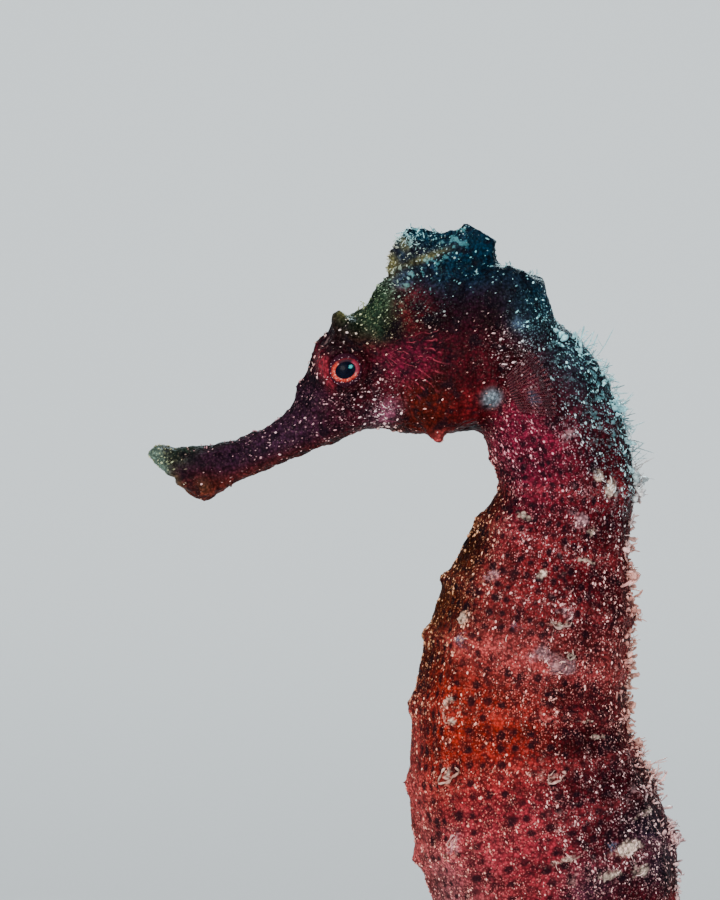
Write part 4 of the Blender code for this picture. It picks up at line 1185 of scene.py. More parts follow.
def fan_line(rings, turn, sunk, lean, length):
    """Roots just under the skin between two rings, and tips a given length away along the lean."""

    def line(across):
        along = np.interp(rings[0] + (rings[1] - rings[0]) * across, ring_count, ALONG)
        _, tailward, belly = axis_frame(along)
        roots = body_surface(along, np.full(len(along), turn), 1, rise=-sunk)
        way = lean(across)[:, None] * tailward + math.cos(turn) * belly
        way = way / np.linalg.norm(way, axis=1, keepdims=True) * length(across)[:, None] * MM
        return roots, roots + np.stack([way[:, 0], 0 * across, way[:, 1]], 1)

    return line


def dorsal_length(across):
    return DORSAL_LENGTH * (0.72 + 0.28 * np.sin(math.pi * np.minimum(1, 0.25 + 0.8 * across)))


dorsal_line = fan_line(DORSAL_RINGS, math.pi, 1.2, lambda across: 0.15 + 0.75 * across, dorsal_length)
anal_line = fan_line(ANAL_RINGS, 0.0, 0.9, lambda across: 0.5 + 0.5 * across, lambda across: ANAL_LENGTH + 0 * across)
fin("dorsal_fin", DORSAL_RAYS, dorsal_line, 0.5, DORSAL_COLOURS)
fin("anal_fin", ANAL_RAYS, anal_line, 0.0, ANAL_COLOURS)

# %% The fins behind the gill covers
PECTORAL_AT, PECTORAL_BASE, PECTORAL_LENGTH, PECTORAL_RAYS = (-12.7, 4.5, -3.5), 3.4, 4.2, 16
PECTORAL_COLOURS = (0.03, 0.004, 0.010), (0.15, 0.035, 0.04), (0.02, 0.003, 0.006)


def pectoral_line(side):
    def line(across):
        spread = across - 0.5
        roots = (PECTORAL_AT[0] - 0.6 * np.abs(spread), side * PECTORAL_AT[1], PECTORAL_AT[2] + PECTORAL_BASE * spread)
        roots = np.stack(np.broadcast_arrays(*roots), 1)
        lean = np.stack(np.broadcast_arrays(-1.0, side * 0.6, 1.15 * spread), 1)
        length = PECTORAL_LENGTH * (0.8 + 0.2 * np.sin(math.pi * across))
        tips = roots + lean / np.linalg.norm(lean, axis=1, keepdims=True) * length[:, None]
        return head_to_world(*roots.T), head_to_world(*tips.T)

    return line


for title, side in (("pectoral_fin_left", 1), ("pectoral_fin_right", -1)):
    fin(title, PECTORAL_RAYS, pectoral_line(side), side * 0.3, PECTORAL_COLOURS, 0.5)

# %% [markdown]
# ## Many small solid shapes at once
# The skin is covered in thousands of pale grains, and carries crumbs of crust and fringes of skin. All are one kind of
# shape: a closed, tapering string of small loops, from a buried tip to a free tip. Modelling one and copying it
# thousands of times by operator would take minutes, so their points are laid out in arrays and joined as one mesh.
# Each shape has its own small patch in the OFBake map, at the place of its root on an unrolled skin.

# %% Strings of loops
PATCH = 0.003  # the width of each shape's patch in the map


def unrolled(along, turn, side, forward, up, aside, head):
    """Where a place on the skin lies when the skin is unrolled flat: the body below, the head above."""
    body = np.stack([0.01 + 0.97 * along / TIP, 0.32 + 0.30 * side * turn / math.pi], 1)
    middle = np.interp(forward, (-15, 0, 6, 18), (3.5, 1.5, 0.0, 0.0))
    around = np.arctan2(side * aside, middle - up)
    face = np.stack([0.01 + 0.97 * np.clip((forward + 20) / 40, 0, 1), 0.82 + 0.16 * around / math.pi], 1)
    return np.where(head[:, None] > 0.5, face, body)


def loops(title, spines, radii, across, sides, flatness, places, flat_place, brightness):
    """Builds a mesh of closed shapes.

    spines: (shapes, loops + 2, 3) in metres, radii: (shapes, loops) in metres, across: (shapes, 3) the wider way,
    flatness: (shapes,) how thin each is the other way.
    """
    shapes, rows = radii.shape
    lengthwise = spines[:, -1] - spines[:, 0]
    lengthwise /= np.linalg.norm(lengthwise, axis=1, keepdims=True)
    across = across - lengthwise * (across * lengthwise).sum(1, keepdims=True)
    across /= np.linalg.norm(across, axis=1, keepdims=True)
    other = np.cross(lengthwise, across)
    angle = 2 * np.pi * np.arange(sides) / sides
    spread = np.cos(angle)[:, None] * across[:, None] + (flatness[:, None] * np.sin(angle))[:, :, None] * other[:, None]
    loop_points = spines[:, 1:-1, None] + radii[:, :, None, None] * spread[:, None]
    points = np.concatenate([spines[:, :1], loop_points.reshape(shapes, -1, 3), spines[:, -1:]], 1)
    each = points.shape[1]
    k = np.arange(sides)
    after = (k + 1) % sides
    low = [np.stack([0 * k, 1 + after, 1 + k, 1 + k], 1)]
    walls = [np.stack([a + k, a + after, a + sides + after, a + sides + k], 1) for a in 1 + sides * np.arange(rows - 1)]
    last = 1 + sides * (rows - 1)
    high = [np.stack([last + k, last + after, 0 * k + each - 1, 0 * k + each - 1], 1)]
    row_of = np.repeat(np.arange(rows + 1), sides)
    quads = np.concatenate(low + walls + high)
    counts = np.where((row_of == 0) | (row_of == rows), 3, 4)
    corners = np.concatenate([quad[:count] for quad, count in zip(quads, counts)])
    column = np.concatenate(
        [
            (c + 0.5, c + 1, c) if r == 0 else (c, c + 1, c + 0.5) if r == rows else (c, c + 1, c + 1, c)
            for r, c in zip(row_of, np.tile(k, rows + 1))
        ]
    )
    height = np.concatenate(
        [(0, 1, 1) if r == 0 else (r, r, r + 1) if r == rows else (r, r, r + 1, r + 1) for r in row_of]
    )
    patch = (np.stack([column / sides, height / (rows + 1)], 1) - 0.5) * PATCH
    mesh = bpy.data.meshes.new(title)
    mesh.vertices.add(shapes * each)
    mesh.vertices.foreach_set("co", points.ravel())
    mesh.loops.add(shapes * len(corners))
    mesh.loops.foreach_set("vertex_index", (corners[None] + each * np.arange(shapes)[:, None]).ravel())
    starts = np.concatenate([[0], np.cumsum(counts)[:-1]])
    mesh.polygons.add(shapes * len(counts))
    mesh.polygons.foreach_set("loop_start", (starts[None] + len(corners) * np.arange(shapes)[:, None]).ravel())
    mesh.update(calc_edges=True)
    unroll = mesh.uv_layers.new(name="OFBake")
    unroll.data.foreach_set("uv", (flat_place[:, None] + patch[None]).ravel())
    mesh.validate()
    mesh.polygons.foreach_set("use_smooth", np.ones(len(mesh.polygons), bool))
    ob = bpy.data.objects.new(title, mesh)
    bpy.context.collection.objects.link(ob)
    dress(ob, tuple(np.repeat(value, each) for value in places))
    tip_share = np.concatenate([[0], np.repeat((np.arange(rows) + 1) / (rows + 1), sides), [1]])
    set_attribute(ob, "brightness", "FLOAT", np.repeat(brightness, each))
    set_attribute(ob, "tip_share", "FLOAT", np.tile(tip_share, shapes))
    triangles = sum(len(face.vertices) - 2 for face in mesh.polygons[: len(counts)]) * shapes
    print(title, "shapes:", shapes, "triangles:", triangles)
    return ob


# %% Scatter places over the skin
chance = np.random.default_rng(11)
skin.data.calc_loop_triangles()
corner_of = np.empty(len(skin.data.loop_triangles) * 3, int)
skin.data.loop_triangles.foreach_get("vertices", corner_of)
corner_of = corner_of.reshape(-1, 3)
wide = points[corner_of]
area = np.linalg.norm(np.cross(wide[:, 1] - wide[:, 0], wide[:, 2] - wide[:, 0]), axis=1) / 2 / MM**2
print("skin area in square mm:", round(float(area.sum())))


def scatter(count):
    """Random places on the skin, as (point, normal, places), even over its area."""
    face = np.searchsorted(np.cumsum(area) / area.sum(), chance.random(count))
    share = chance.dirichlet((1, 1, 1), count)[:, :, None]
    rows = corner_of[np.minimum(face, len(area) - 1)]
    normal = (normals[rows] * share).sum(1)
    normal /= np.linalg.norm(normal, axis=1, keepdims=True)
    found = tuple((value[rows] * share[:, :, 0]).sum(1) for value in skin_places)
    return (points[rows] * share).sum(1), normal, found


def kept(found, wanted):
    """Only the scattered places for which the mask is true."""
    point, normal, place = found
    return point[wanted], normal[wanted], tuple(value[wanted] for value in place)


def flat_place_of(point, place):
    along, _, turn, forward, up, head = place
    side = np.where(point[:, 1] < 0, 1.0, -1.0)
    return unrolled(along, turn, side, forward, up, np.abs(point[:, 1]) / MM, head)


def lengthwise_at(place):
    """The direction along the body or the head, in which grains are drawn out."""
    along, head = place[0], place[5][:, None]
    snoutward = np.array([-math.cos(HEAD_PITCH), -math.sin(HEAD_PITCH)])
    way = axis_frame(along)[1] * (1 - head) + snoutward * head
    return np.stack([way[:, 0], 0 * along, way[:, 1]], 1)


def clumped(point, size):
    """A soft pattern of clumps about the given size in mm, from 0 to 1, made by three crossing waves."""
    ways = ((2.9, 1.7, 2.3), (-1.3, 3.1, 1.9), (2.1, -2.6, 1.5))
    first, second, third = [np.sin(point @ np.array(way) / MM / size) for way in ways]
    return 0.5 + 0.5 * (first * second + third * first) / 1.2


def unit(vectors):
    return vectors / np.linalg.norm(vectors, axis=1, keepdims=True)


def standing(point, way, size, steps):
    """Straight spines that start sunk in the skin, at the given steps of their size."""
    return point[:, None] + way[:, None] * (size[:, None] * np.array(steps))[:, :, None]


# %% [markdown]
# ## Skin grains
# Up close the hide is granular: thousands of tiny domes, most of them skin-coloured and some bright as sugar. They
# stand in rows between the dark spots, crowd on the ring crests and are drawn out along the body. A scatter over the
# skin is thinned to that pattern. The finest are four-sided specks, and the larger ones are rounder domes.

# %% Choose places for the grains
GRAIN_TRIES = 185000
SPOT_SHIFT = 0.1  # the spots lie this far short of the whole numbers
LARGE_SHARE = 0.14  # of all grains
GRAINS_END = 11.0  # the ring at which the large grains stop
found = scatter(GRAIN_TRIES)
along, ring, turn, forward, up, head = found[2]
gap_along = np.abs((ring * SPOTS_PER_RING + SPOT_SHIFT) % 1 - 0.5)  # 0 between the spots and 0.5 on them
gap_round = np.abs((turn * SPOTS_ROUND + SPOT_SHIFT) % 1 - 0.5)
in_rows = 0.04 + 0.48 * smooth(0.34, 0.10, gap_round) + 0.34 * smooth(0.34, 0.10, gap_along)
clumps = clumped(found[0], 1.6)
ridge, wave = ridge_and_crest(along, ring, turn)
on_line = near_ridge(turn, TRUNK_RIDGES, 4)
wanted = in_rows * (0.45 + 0.8 * wave**3 + 0.3 * ridge + 0.4 * on_line) * (1 - 0.45 * smooth(11, 15, ring))
wanted *= 0.25 + 1.5 * clumps**1.5
busy = 0.01 + 0.85 * speck_share(ring, turn, forward, up, head)
wanted = wanted * (1 - head) + busy * (0.4 + 0.7 * clumps) * head
near_eye = (head > 0.5) & (np.abs(found[0][:, 1]) > 2.2 * MM)
wanted = wanted * np.where(near_eye, smooth(1.5, 1.62, away_from_eye(forward, up)), 1)
found = kept(found, chance.random(GRAIN_TRIES) < wanted)
print("grains:", len(found[0]))

# %% Grow the grains
FINE_GRAIN = (0.036, 0.050, 0.78, (-0.5, 0.2, 1.0), (1.0,), 4)
LARGE_GRAIN = (0.085, 0.065, 0.70, (-0.5, 0.15, 0.72, 1.0), (1.0, 0.68), 5)


def grains(title, found, kind):
    """Grains of a kind at the places found.

    A kind is the least radius, what the largest adds to it, the share that doesn't sparkle, the steps up the spine,
    the width of each loop and the number of sides.
    """
    least, growth, dull, steps, widths, sides = kind
    point, normal, place = found
    count = len(point)
    chosen = chance.random(count)
    size = (least + growth * chosen**2) * MM
    # The sparkling grains are pale pigment and also painted highlights of the wet skin.
    sparkles = chosen > dull
    brightness = np.where(sparkles, 0.72, 0.04) + np.where(sparkles, 0.28, 0.40) * chance.random(count)
    spines = standing(point, normal, size * (0.6 + 0.5 * chance.random(count)), steps)
    across = lengthwise_at(place) + 0.30 * chance.normal(size=(count, 3))
    thin = 0.30 + 0.6 * chance.random(count)
    radii = size[:, None] * np.array(widths) / np.sqrt(thin)[:, None]
    return loops(title, spines, radii, across, sides, thin, place, flat_place_of(point, place), brightness)


left = found[0][:, 1] < 0
above_tail, at_head = found[2][1] < GRAINS_END, found[2][5] > 0.5
areas = (
    ("head", at_head),
    ("trunk_left", ~at_head & above_tail & left),
    ("trunk_right", ~at_head & above_tail & ~left),
    ("tail", ~at_head & ~above_tail),
)
is_large = chance.random(len(left)) < LARGE_SHARE
coat = [grains("fine_grains_" + area_name, kept(found, mask & ~is_large), FINE_GRAIN) for area_name, mask in areas]
coat.append(grains("large_grains", kept(found, is_large & above_tail), LARGE_GRAIN))

# %% [markdown]
# ## Sugar grains on the face
# A few grains on the face are far larger and whiter than the rest, and stand where they give it its look: in front of
# the eye, under it and along the cheek. Chance would not put them there, so each has its place and size in a table,
# and is set on the nearest point of the skin on both sides.

# %% Set the sugar grains
SUGAR_GRAINS = (  # forward, up, radius
    (2.5, 4.8, 0.20), (0.6, 6.8, 0.17), (-0.8, 6.9, 0.18), (-1.3, 6.5, 0.18), (-1.9, 6.1, 0.18), (-1.2, 4.9, 0.13),
    (-2.6, 5.0, 0.16), (-2.7, 3.0, 0.17), (-3.1, 2.5, 0.14), (-2.5, 1.8, 0.18), (-2.8, 1.6, 0.15), (-2.6, -0.4, 0.12),
    (-1.2, -0.7, 0.17), (-1.3, -1.2, 0.16), (-1.5, -2.0, 0.18), (-2.8, -2.1, 0.20), (-2.2, -2.7, 0.14),
    (-0.5, 0.7, 0.18), (0.1, 0.9, 0.13), (-0.2, 0.1, 0.14), (1.3, 0.4, 0.18), (2.0, 1.6, 0.14), (2.8, 1.4, 0.13),
    (2.3, 0.6, 0.13), (4.4, 4.7, 0.15), (9.3, 1.3, 0.15), (8.9, 0.4, 0.13), (8.4, 0.1, 0.12), (15.3, -1.5, 0.16),
    (-10.9, -1.8, 0.17), (-10.5, 8.6, 0.13), (-11.2, 11.5, 0.16), (-13.8, 9.0, 0.15), (-14.8, 6.2, 0.14),
    (-16.3, 7.1, 0.13),
)
SUGAR_WIDTH, SUGAR_HEIGHT, SUGAR_SIDES = 0.85, 0.9, 8  # shares of the radius, and of the width
nearest = []
for at_forward, at_up, _ in SUGAR_GRAINS:
    away = np.hypot(skin_places[3] - at_forward, skin_places[4] - at_up) + 50 * (1 - skin_places[5])
    nearest += [np.argmin(np.where(points[:, 1] * side > 0, away, 99.0)) for side in (-1, 1)]
place = tuple(value[nearest] for value in skin_places)
size = SUGAR_WIDTH * np.repeat([radius for *_, radius in SUGAR_GRAINS], 2) * MM
spines = standing(points[nearest], normals[nearest], SUGAR_HEIGHT * size, LARGE_GRAIN[3])
across = lengthwise_at(place) + 0.5 * chance.normal(size=(len(size), 3))
thin = 0.35 + 0.4 * chance.random(len(size))
radii = size[:, None] * np.array(LARGE_GRAIN[4])
brightness = 0.8 + 0.2 * chance.random(len(size))
flat_place = flat_place_of(points[nearest], place)
coat.append(loops("sugar_grains", spines, radii, across, SUGAR_SIDES, thin, place, flat_place, brightness))

# %% [markdown]
# ## Crust on the knobs and crown
# Where the ridges cross the ring crests the skin carries pale, ragged frills, and the coronet is rough with them. Each
# frill is a crumb: the same closed shape, wider, flattened and turned at random, crowded where the skin is ragged.

# %% Grow the crust
CRUMB_TRIES = 90000
CRUMB_STEPS, CRUMB_WIDTHS = (-0.9, -0.2, 0.55, 1.1), (0.62, 0.72)
CHEEK_TUFT = (-1.7, -1.7)
found = scatter(CRUMB_TRIES)
_, ring, turn, forward, up, head = found[2]
rough = raggedness(*found[2])
patch = patches_at(ring, turn, head)
on_cream = np.isclose(patch[:, 0], CREAM[0]) * smooth(0.25, 0.7, patch[:, 3])
front_of_crown = head * dab(forward, up, (-7.6, 11.4), 1.5)
wanted = 0.15 * rough * head + 0.06 * rough * (1 - head) + 0.08 * smooth(0.25, 0.8, patch[:, 3])
wanted += 0.45 * on_cream + 0.28 * front_of_crown + 0.45 * head * dab(forward, up, CHEEK_TUFT, 0.9)
wanted += 0.5 * head * groove(forward, up, (-7.8, 10.7), (-12.1, 10.3), 0.3)
found = kept(found, chance.random(CRUMB_TRIES) < wanted * smooth(0.25, 0.75, clumped(found[0], 0.9)))
point, normal, place = found
count = len(point)
size = (0.06 + 0.12 * chance.random(count) ** 2) * MM
spines = standing(point, unit(normal + 0.75 * chance.normal(size=(count, 3))), size, CRUMB_STEPS)
radii = size[:, None] * np.array(CRUMB_WIDTHS) * (0.8 + 0.4 * chance.random((count, 2)))
brightness = np.where(chance.random(count) < 0.5, 0.5 + 0.5 * chance.random(count), 0.05 + 0.3 * chance.random(count))
thin = 0.35 + 0.4 * chance.random(count)
across = chance.normal(size=(count, 3))
coat.append(loops("crust", spines, radii, across, 6, thin, place, flat_place_of(point, place), brightness))

# %% [markdown]
# ## Curls and fringes of skin
# Pale threads of skin curl over the knobs, a ragged seam of pink lobes and filaments runs down the back, branched at
# the nape, and a short fuzz stands on the rim of the coronet and over the eyes. Hair curves would be dropped when the
# model is exported, so each is a thin closed tube that bends as it leaves the skin.

# %% Bending filaments
STEPS = np.array([-0.12, 0.0, 0.3, 0.62, 0.9, 1.0])
FILAMENT, LOBE = (0.9, 0.8, 1.0, 0.75), (0.6, 0.85, 1.1, 0.95)  # how they swell on the way out


def filaments(roots, ways, lengths, thickness, droop, swell=FILAMENT):
    """Spines and radii of bending filaments. The droop is the way in which each bends, as a vector."""
    reach = ways[:, None] * STEPS[:, None] + droop[:, None] * (np.maximum(STEPS, 0) ** 2)[:, None]
    return roots[:, None] + lengths[:, None, None] * reach, thickness[:, None] * np.array(swell)


# %% Curls on the knobs
CURL_TRIES = 60000
EYE_TUFT = (2.6, 4.9)  # in front of the eye
found = scatter(CURL_TRIES)
_, ring, turn, forward, up, head = found[2]
on_face = 0.015 * dab(forward, up, (-8.6, 11.2), 2.2) + 0.15 * dab(forward, up, CHEEK_TUFT, 0.9)
on_face += 0.7 * dab(forward, up, EYE_TUFT, 0.3)
wanted = 0.11 * smooth(0.35, 0.9, patches_at(ring, turn, head)[:, 3]) + on_face * head
found = kept(found, chance.random(CURL_TRIES) < wanted)
point, normal, place = found
count = len(point)
way = unit(np.cross(normal, chance.normal(size=(count, 3))) + 0.35 * normal)
spines, radii = filaments(
    point + normal * 0.03 * MM,
    way,
    (0.25 + 0.45 * chance.random(count)) * MM,
    (0.035 + 0.03 * chance.random(count)) * MM,
    0.9 * np.cross(normal, way) * chance.choice((-1, 1), count)[:, None] - 0.35 * normal,
)
brightness = 0.75 + 0.25 * chance.random(count)
coat.append(loops("curls", spines, radii, normal, 4, np.ones(count), place, flat_place_of(point, place), brightness))

# %% [markdown]
# ## Curled rims round the bulbs
# Some bulbs are bordered by a rolled rim of skin, open on one side. It is the same closed tube laid down on the body:
# its spine goes round the bulb in ring coordinates and wanders in and out, so that no two rims look drawn.

# %% Lay the rims
RIM_CURLS = (  # ring, turn in degrees, reach in rings and in degrees, how far round in degrees
    (6.42, 49, 0.11, 4.6, 300),
    (6.67, 102, 0.10, 4.2, 320),
    (3.80, 102, 0.10, 6.0, 190),
    (4.36, 111, 0.06, 2.6, 260),
    (4.12, 45, 0.08, 3.4, 200),
    (5.60, 49, 0.12, 2.4, 150),
    (8.38, 127, 0.10, 4.0, 230),
    (7.44, 47, 0.12, 3.6, 140),
)
RIM_POINTS = 24
RIM_RISE = BULB_RISE - 0.12
OFF_HEAD = (-30.0, -30.0, 0.0)  # forward, up and the share of the head, for places on the body
rim_spines, rim_places = [], []
for at_ring, at_turn, reach_ring, reach_turn, far in RIM_CURLS:
    for side in (1, -1):
        round_it = np.radians(far) * np.linspace(0, 1, RIM_POINTS) + chance.random() * 6
        wobble = 1 + 0.2 * np.sin(2.3 * round_it + side) + 0.13 * np.sin(5.1 * round_it + 6 * chance.random())
        rings = at_ring + reach_ring * wobble * np.cos(round_it)
        turns = np.radians(at_turn + reach_turn * wobble * np.sin(round_it))
        rim_spines.append(body_surface(np.interp(rings, ring_count, ALONG), turns, side, rise=RIM_RISE))
        rim_places.append((np.interp(at_ring, ring_count, ALONG), at_ring, np.radians(at_turn), *OFF_HEAD))
rim_spines = np.array(rim_spines)
rim_places = tuple(np.array(rim_places).T)
count = len(rim_spines)
radii = (0.07 + 0.12 * chance.random((count, RIM_POINTS - 2)) ** 1.5) * MM
across = np.stack([0 * chance.random(count), np.tile((-1.0, 1.0), count // 2), 0.2 * chance.random(count)], 1)
brightness = 0.25 + 0.40 * chance.random(count)
flat_place = flat_place_of(rim_spines[:, 0], rim_places)
coat.append(loops("rim_curls", rim_spines, radii, across, 5, np.ones(count), rim_places, flat_place, brightness))

# %% Choose places for the fringes and fuzz
TUFT_TRIES = 90000
HEAD_UP = np.array([-math.sin(HEAD_PITCH), 0.0, math.cos(HEAD_PITCH)])
found = scatter(TUFT_TRIES)
along, ring, turn, forward, up, head = found[2]
_, wave = ridge_and_crest(along, ring, turn)
back = smooth(2.45, 2.95, turn) * (1 - head) * smooth(-1.5, -0.6, ring) * (0.5 + 0.5 * wave**2)
crown_rim = head * smooth(11.0, 12.0, over_slant(forward, up)) * smooth(6.0, 5.0, np.abs(forward + 12))
on_top = head * smooth(0.72, 0.92, found[1] @ HEAD_UP)


def sprig_at(forward, up, head):
    """1 at a small twig of skin on the back of the coronet."""
    return head * dab(forward, up, (-14.8, 11.8), 0.35)


wanted = 0.30 * back * (1 - 0.5 * smooth(8, 11, ring)) + 0.40 * crown_rim + 0.20 * on_top
wanted = wanted + 0.03 * on_nape(ring, turn, head, 2.3, 2.7) + sprig_at(forward, up, head)
wanted = wanted * (0.1 + 1.3 * clumped(found[0], 1.5) ** 1.5)
found = kept(found, chance.random(TUFT_TRIES) < wanted)
print("roots of fringes and fuzz:", len(found[0]))

# %% Grow the fringes and fuzz
point, normal, place = found
_, ring, turn, forward, up, head = place
sprig = sprig_at(forward, up, head)
count = len(point)
# The lengths in mm: long on the back and nape, short on the head, and longest on the twig and on one crest.
long_here = (0.42 + 0.28 * smooth(2.7, 3.0, turn) + 0.30 * on_nape(ring, turn, head, 2.4, 2.8)) * (1 - head)
long_here = long_here + (0.16 + 0.14 * smooth(2, -3, forward)) * head + 1.3 * sprig
long_here *= 1 - 0.3 * smooth(8, 12, ring)
long_here += 0.45 * np.exp(-(((ring - 1.15) / 0.25) ** 2)) * smooth(2.8, 3.0, turn) * (1 - head)
length = long_here * (0.5 + 0.6 * chance.random(count) + 1.6 * chance.random(count) ** 14) * MM
way = unit(normal + 0.40 * chance.normal(size=(count, 3)) + 2.0 * sprig[:, None] * HEAD_UP)
is_lobe = (chance.random(count) < 0.72) & (head < 0.5) & (long_here < 0.9)
length *= np.where(is_lobe, 0.8, 1.0)
lobe_size = (0.15 + 0.20 * chance.random(count)) * (1 - 0.35 * smooth(5.0, 7.0, ring))
thickness = np.where(is_lobe, lobe_size, 0.030 + 0.03 * chance.random(count)) * MM
spines, radii = filaments(point, way, length, thickness, 0.45 * chance.normal(size=(count, 3)), LOBE)
thin = np.where(is_lobe, 0.38, 0.9)

# %% Branch the fringes and join them
BRANCHES = 4  # the first two spring from filaments, and the others from lobes
all_spines, all_radii, owners = [spines], [radii], [np.arange(count)]
for branch in range(BRANCHES):
    chosen = np.nonzero((length > (0.3 + 0.1 * branch) * MM) & (is_lobe == (branch > 1)))[0]
    start = spines[chosen, 2 + branch % 3] * 0.6 + spines[chosen, 1 + branch % 3] * 0.4
    lean = unit(way[chosen] + 0.9 * chance.normal(size=(len(chosen), 3)))
    bend = 0.4 * chance.normal(size=(len(chosen), 3))
    branch_spines, branch_radii = filaments(start, lean, 0.5 * length[chosen], 0.7 * thickness[chosen], bend)
    all_spines.append(branch_spines)
    all_radii.append(branch_radii)
    owners.append(chosen)
owner = np.concatenate(owners)
spines, radii = np.concatenate(all_spines), np.concatenate(all_radii)
across = chance.normal(size=(len(owner), 3))
brightness = 0.45 + 0.55 * chance.random(len(owner))
flat_place = flat_place_of(point, place)[owner]
place = tuple(value[owner] for value in place)
coat.append(loops("fringes", spines, radii, across, 5, thin[owner], place, flat_place, brightness))

# %% [markdown]
# ## The finish of the coat
# Every grain, crumb and thread carries the skin's own markings and is drawn from them towards the colour of the light
# specks, by a brightness that each shape has as an attribute. Giving each shape its own material would be simpler to
# read but would need thousands of them, so one material reads the attribute. The crust and the fringes lean to a
# paler tone of their own.

# %% The finish of grains, crust and fringes
CRUST_CREAM = (0.72, 0.60, 0.50, 1)
FRINGE_PINK = (0.88, 0.46, 0.36, 1)


def coat_material(title, pale, share):
    """The skin's markings, drawn towards the colour of the light specks by each shape's brightness."""
    material, tree, shader = new_material(title, Specular_IOR_Level=0.1)
    where = object_place(tree)
    colour, _, _, fine, spot = marked_colour(tree, where)
    crumbs = soft_noise(tree, where, 5200.0)[0]
    between_spots = math_of(tree, "SUBTRACT", 1.0, times(tree, spot, 0.6))
    towards = times(tree, attribute(tree, "brightness", "Fac"), ramp(tree, crumbs, 0.3, 0.6, 0.6, 1.0), between_spots)
    light = mixed(tree, share, attribute(tree, "speck"), pale)
    # The brightest shapes are drawn on towards white: pale pigment, and a painted sparkle of wet highlights.
    painted_sparkle = vector_math(tree, "MULTIPLY_ADD", light, (0.75, 0.75, 0.75), (0.25, 0.21, 0.21))
    light = mixed(tree, ramp(tree, towards, 0.75, 1.0, 0.0, 0.9), light, painted_sparkle)
    lay(tree, shader, Base_Color=mixed(tree, towards, colour, light), Roughness=ramp(tree, fine, 0.3, 0.7, 0.18, 0.4))
    return material


grain_finish = coat_material("bright_grains", CRUST_CREAM, 0.1)
crust_finish = coat_material("pale_crust", CRUST_CREAM, 0.4)
fringe_finish = coat_material("pink_fringes", FRINGE_PINK, 0.12)
own_finishes = {"crust": crust_finish, "curls": crust_finish, "rim_curls": crust_finish, "fringes": fringe_finish}
for ob in coat:
    ob.data.materials.append(own_finishes.get(ob.name, grain_finish))
    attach(ob, "root")
print("coat triangles:", sum(len(face.vertices) - 2 for ob in coat for face in ob.data.polygons))

# %% [markdown]
# ## The display stand
# A round wooden base, a brass rod and a brass cradle hold the model by its tail. The solids already have the right
# shape, so they stay, and only their materials change. Wood is drawn as bent growth rings with fine pores, and the
# brass is brushed.

# %% Finish the stand
WALNUTS = (0.038, 0.018, 0.010, 1), (0.072, 0.035, 0.017, 1)
PORE_BROWN = (0.012, 0.006, 0.004, 1)
BRASSES = (0.72, 0.52, 0.25, 1), (0.50, 0.33, 0.15, 1)


def wood_material():
    material, tree, shader = new_material("dark_walnut", Coat_Weight=0.35, Coat_Roughness=0.22)
    where = object_place(tree)
    place = vector_math(tree, "MULTIPLY_ADD", soft_noise(tree, where, 40.0)[1], (0.003, 0.002, 0.003), where)
    long = stretched(tree, place, (0.18, 1.0, 1.0), (0.0, 0.045, -0.02))
    settings = {"wave_type": "RINGS", "rings_direction": "X"}
    rings = node(tree, "ShaderNodeTexWave", settings, Vector=long, Scale=110.0, Distortion=1.2).outputs[1]
    pores = soft_noise(tree, stretched(tree, where, (300.0, 4200.0, 4200.0)), 1.0)[0]
    colour = mixed(tree, ramp(tree, pores, 0.58, 0.68, 0.0, 0.7), mixed(tree, rings, *WALNUTS), PORE_BROWN)
    lay(tree, shader, Base_Color=colour, Roughness=ramp(tree, pores, 0.4, 0.7, 0.32, 0.6))
    lay(tree, shader, Normal=bump(tree, pores, 0.4, 0.04, invert=True))
    return material


def brass_material():
    material, tree, shader = new_material("brushed_brass", Metallic=1.0)
    where = object_place(tree)
    brushed = soft_noise(tree, stretched(tree, where, (9000.0, 9000.0, 500.0)), 1.0, 3.0)[0]
    colour = mixed(tree, ramp(tree, soft_noise(tree, where, 260.0, 3.0)[0], 0.4, 0.7), *BRASSES)
    lay(tree, shader, Base_Color=colour, Roughness=ramp(tree, brushed, 0.3, 0.7, 0.22, 0.42))
    lay(tree, shader, Normal=bump(tree, brushed, 0.25, 0.01))
    return material


walnut, brass = wood_material(), brass_material()
for title, finish in (("stand_base", walnut), ("stand_rod", brass), ("stand_cradle", brass)):
    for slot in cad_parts[title].material_slots:
        slot.material = finish
print("stand:", [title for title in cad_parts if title.startswith("stand")])

# %% [markdown]
# ## Floor and backdrop
# A studio sweep is a floor that curves up into a wall, so that no horizon cuts the picture. A small disc is extruded
# outwards and upwards in steps, and Subdivision Surface rounds the turn. It goes all the way round, as the model is
# looked at from every side.

# %% Make the sweep
SWEEP = ((0.5, 0.0), (1.2, 0.0), (1.9, 0.25), (2.2, 0.9), (2.3, 2.2))  # radius and height in metres
PAPERS = (0.64, 0.66, 0.67, 1), (0.67, 0.685, 0.69, 1)
bpy.ops.object.select_all(action="DESELECT")
bpy.ops.mesh.primitive_circle_add(vertices=64, radius=SWEEP[0][0], fill_type="NGON")
floor = bpy.context.object
floor.name = "floor"
bpy.ops.object.mode_set(mode="EDIT")
bpy.ops.mesh.select_mode(type="EDGE")
bpy.ops.mesh.select_all(action="DESELECT")
edges = bmesh.from_edit_mesh(floor.data)
for edge in edges.edges:
    edge.select_set(edge.is_boundary)
bmesh.update_edit_mesh(floor.data)
for (radius, height), (next_radius, next_height) in zip(SWEEP, SWEEP[1:]):
    bpy.ops.mesh.extrude_edges_move(TRANSFORM_OT_translate={"value": (0, 0, next_height - height)})
    bpy.ops.transform.resize(value=(next_radius / radius,) * 2 + (1,), center_override=(0, 0, next_height))
bpy.ops.object.mode_set(mode="OBJECT")
finish_with(floor, "SUBSURF", levels=2, render_levels=2)
bpy.ops.object.shade_smooth()
material, tree, shader = new_material("pale_paper", Roughness=0.9)
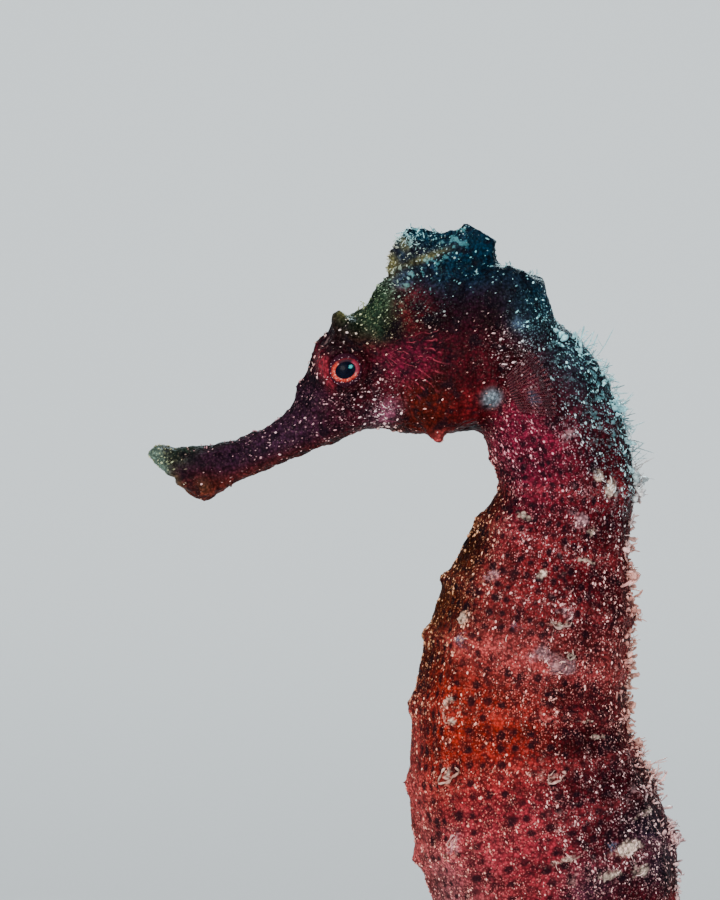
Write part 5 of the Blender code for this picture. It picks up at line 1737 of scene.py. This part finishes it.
lay(tree, shader, Base_Color=mixed(tree, soft_noise(tree, object_place(tree), 900.0)[0], *PAPERS))
floor.data.materials.append(material)
print("floor faces:", len(floor.data.polygons))

# %% [markdown]
# ## Light
# A large soft lamp near the viewer's left shoulder models the flank, a wide one fills the right, and a cool one from
# behind draws a thin bright edge along the back, the crown and the snout. A fourth lights only the wall behind, so
# that it stays as pale as the floor. The world gives an even pale light.

# %% Set the lamps
WORLD_COLOUR, WORLD_STRENGTH = (0.80, 0.90, 0.95, 1), 0.88
LAMPS = (  # place and aim in metres, width, power, colour
    ("key", (-0.16, -0.42, 0.24), (-0.01, 0, 0.11), 0.26, 3.65, (1, 0.97, 0.93)),
    ("backdrop", (0.0, 0.9, 1.3), (0, 2.1, 0.1), 0.8, 18.0, (0.95, 0.99, 1)),
    ("fill", (0.38, -0.20, 0.12), (0, 0, 0.10), 0.25, 0.45, (0.92, 0.97, 1)),
    ("edge", (0.06, 0.34, 0.30), (-0.01, 0, 0.12), 0.15, 2.0, (0.72, 0.95, 1)),
)
world = bpy.data.worlds.new("studio")
bpy.context.scene.world = world
world.use_nodes = True
world.node_tree.nodes["Background"].inputs[0].default_value = WORLD_COLOUR
world.node_tree.nodes["Background"].inputs[1].default_value = WORLD_STRENGTH
for title, place, aim, width, power, colour in LAMPS:
    lamp = bpy.data.lights.new(title, "AREA")
    lamp.shape = "DISK"
    lamp.size = width
    lamp.energy = power
    lamp.color = colour
    ob = bpy.data.objects.new(title, lamp)
    bpy.context.collection.objects.link(ob)
    ob.location = place
    ob.rotation_euler = (Vector(aim) - Vector(place)).to_track_quat("-Z", "Y").to_euler()
print("lamps:", len(LAMPS), "power in watts:", round(sum(lamp[4] for lamp in LAMPS), 2))

# %% [markdown]
# ## Camera
# The view is nearly level with the head and square to the left flank. The lens is worked out from the distance, so
# that the frame covers a chosen height at the animal.

# %% Place the camera
LOOK_AT = (ORIGIN[0] - 21.38, ORIGIN[1] + 48.84)  # forward-back and height
FRAME_HEIGHT = 79.2
DISTANCE, CAMERA_TILT = 400.0, math.radians(3.0)  # it looks down by the tilt
SENSOR = 36.0
camera = bpy.data.cameras.new("camera")
camera.sensor_width = SENSOR
camera.lens = SENSOR * DISTANCE / FRAME_HEIGHT
view_from = bpy.data.objects.new("camera", camera)
bpy.context.collection.objects.link(view_from)
aim = Vector((LOOK_AT[0], 0, LOOK_AT[1])) * MM
view_from.location = aim + Vector((0, -math.cos(CAMERA_TILT), math.sin(CAMERA_TILT))) * DISTANCE * MM
view_from.rotation_euler = (math.pi / 2 - CAMERA_TILT, 0, 0)
bpy.context.scene.camera = view_from
print("lens in mm:", round(camera.lens, 1))
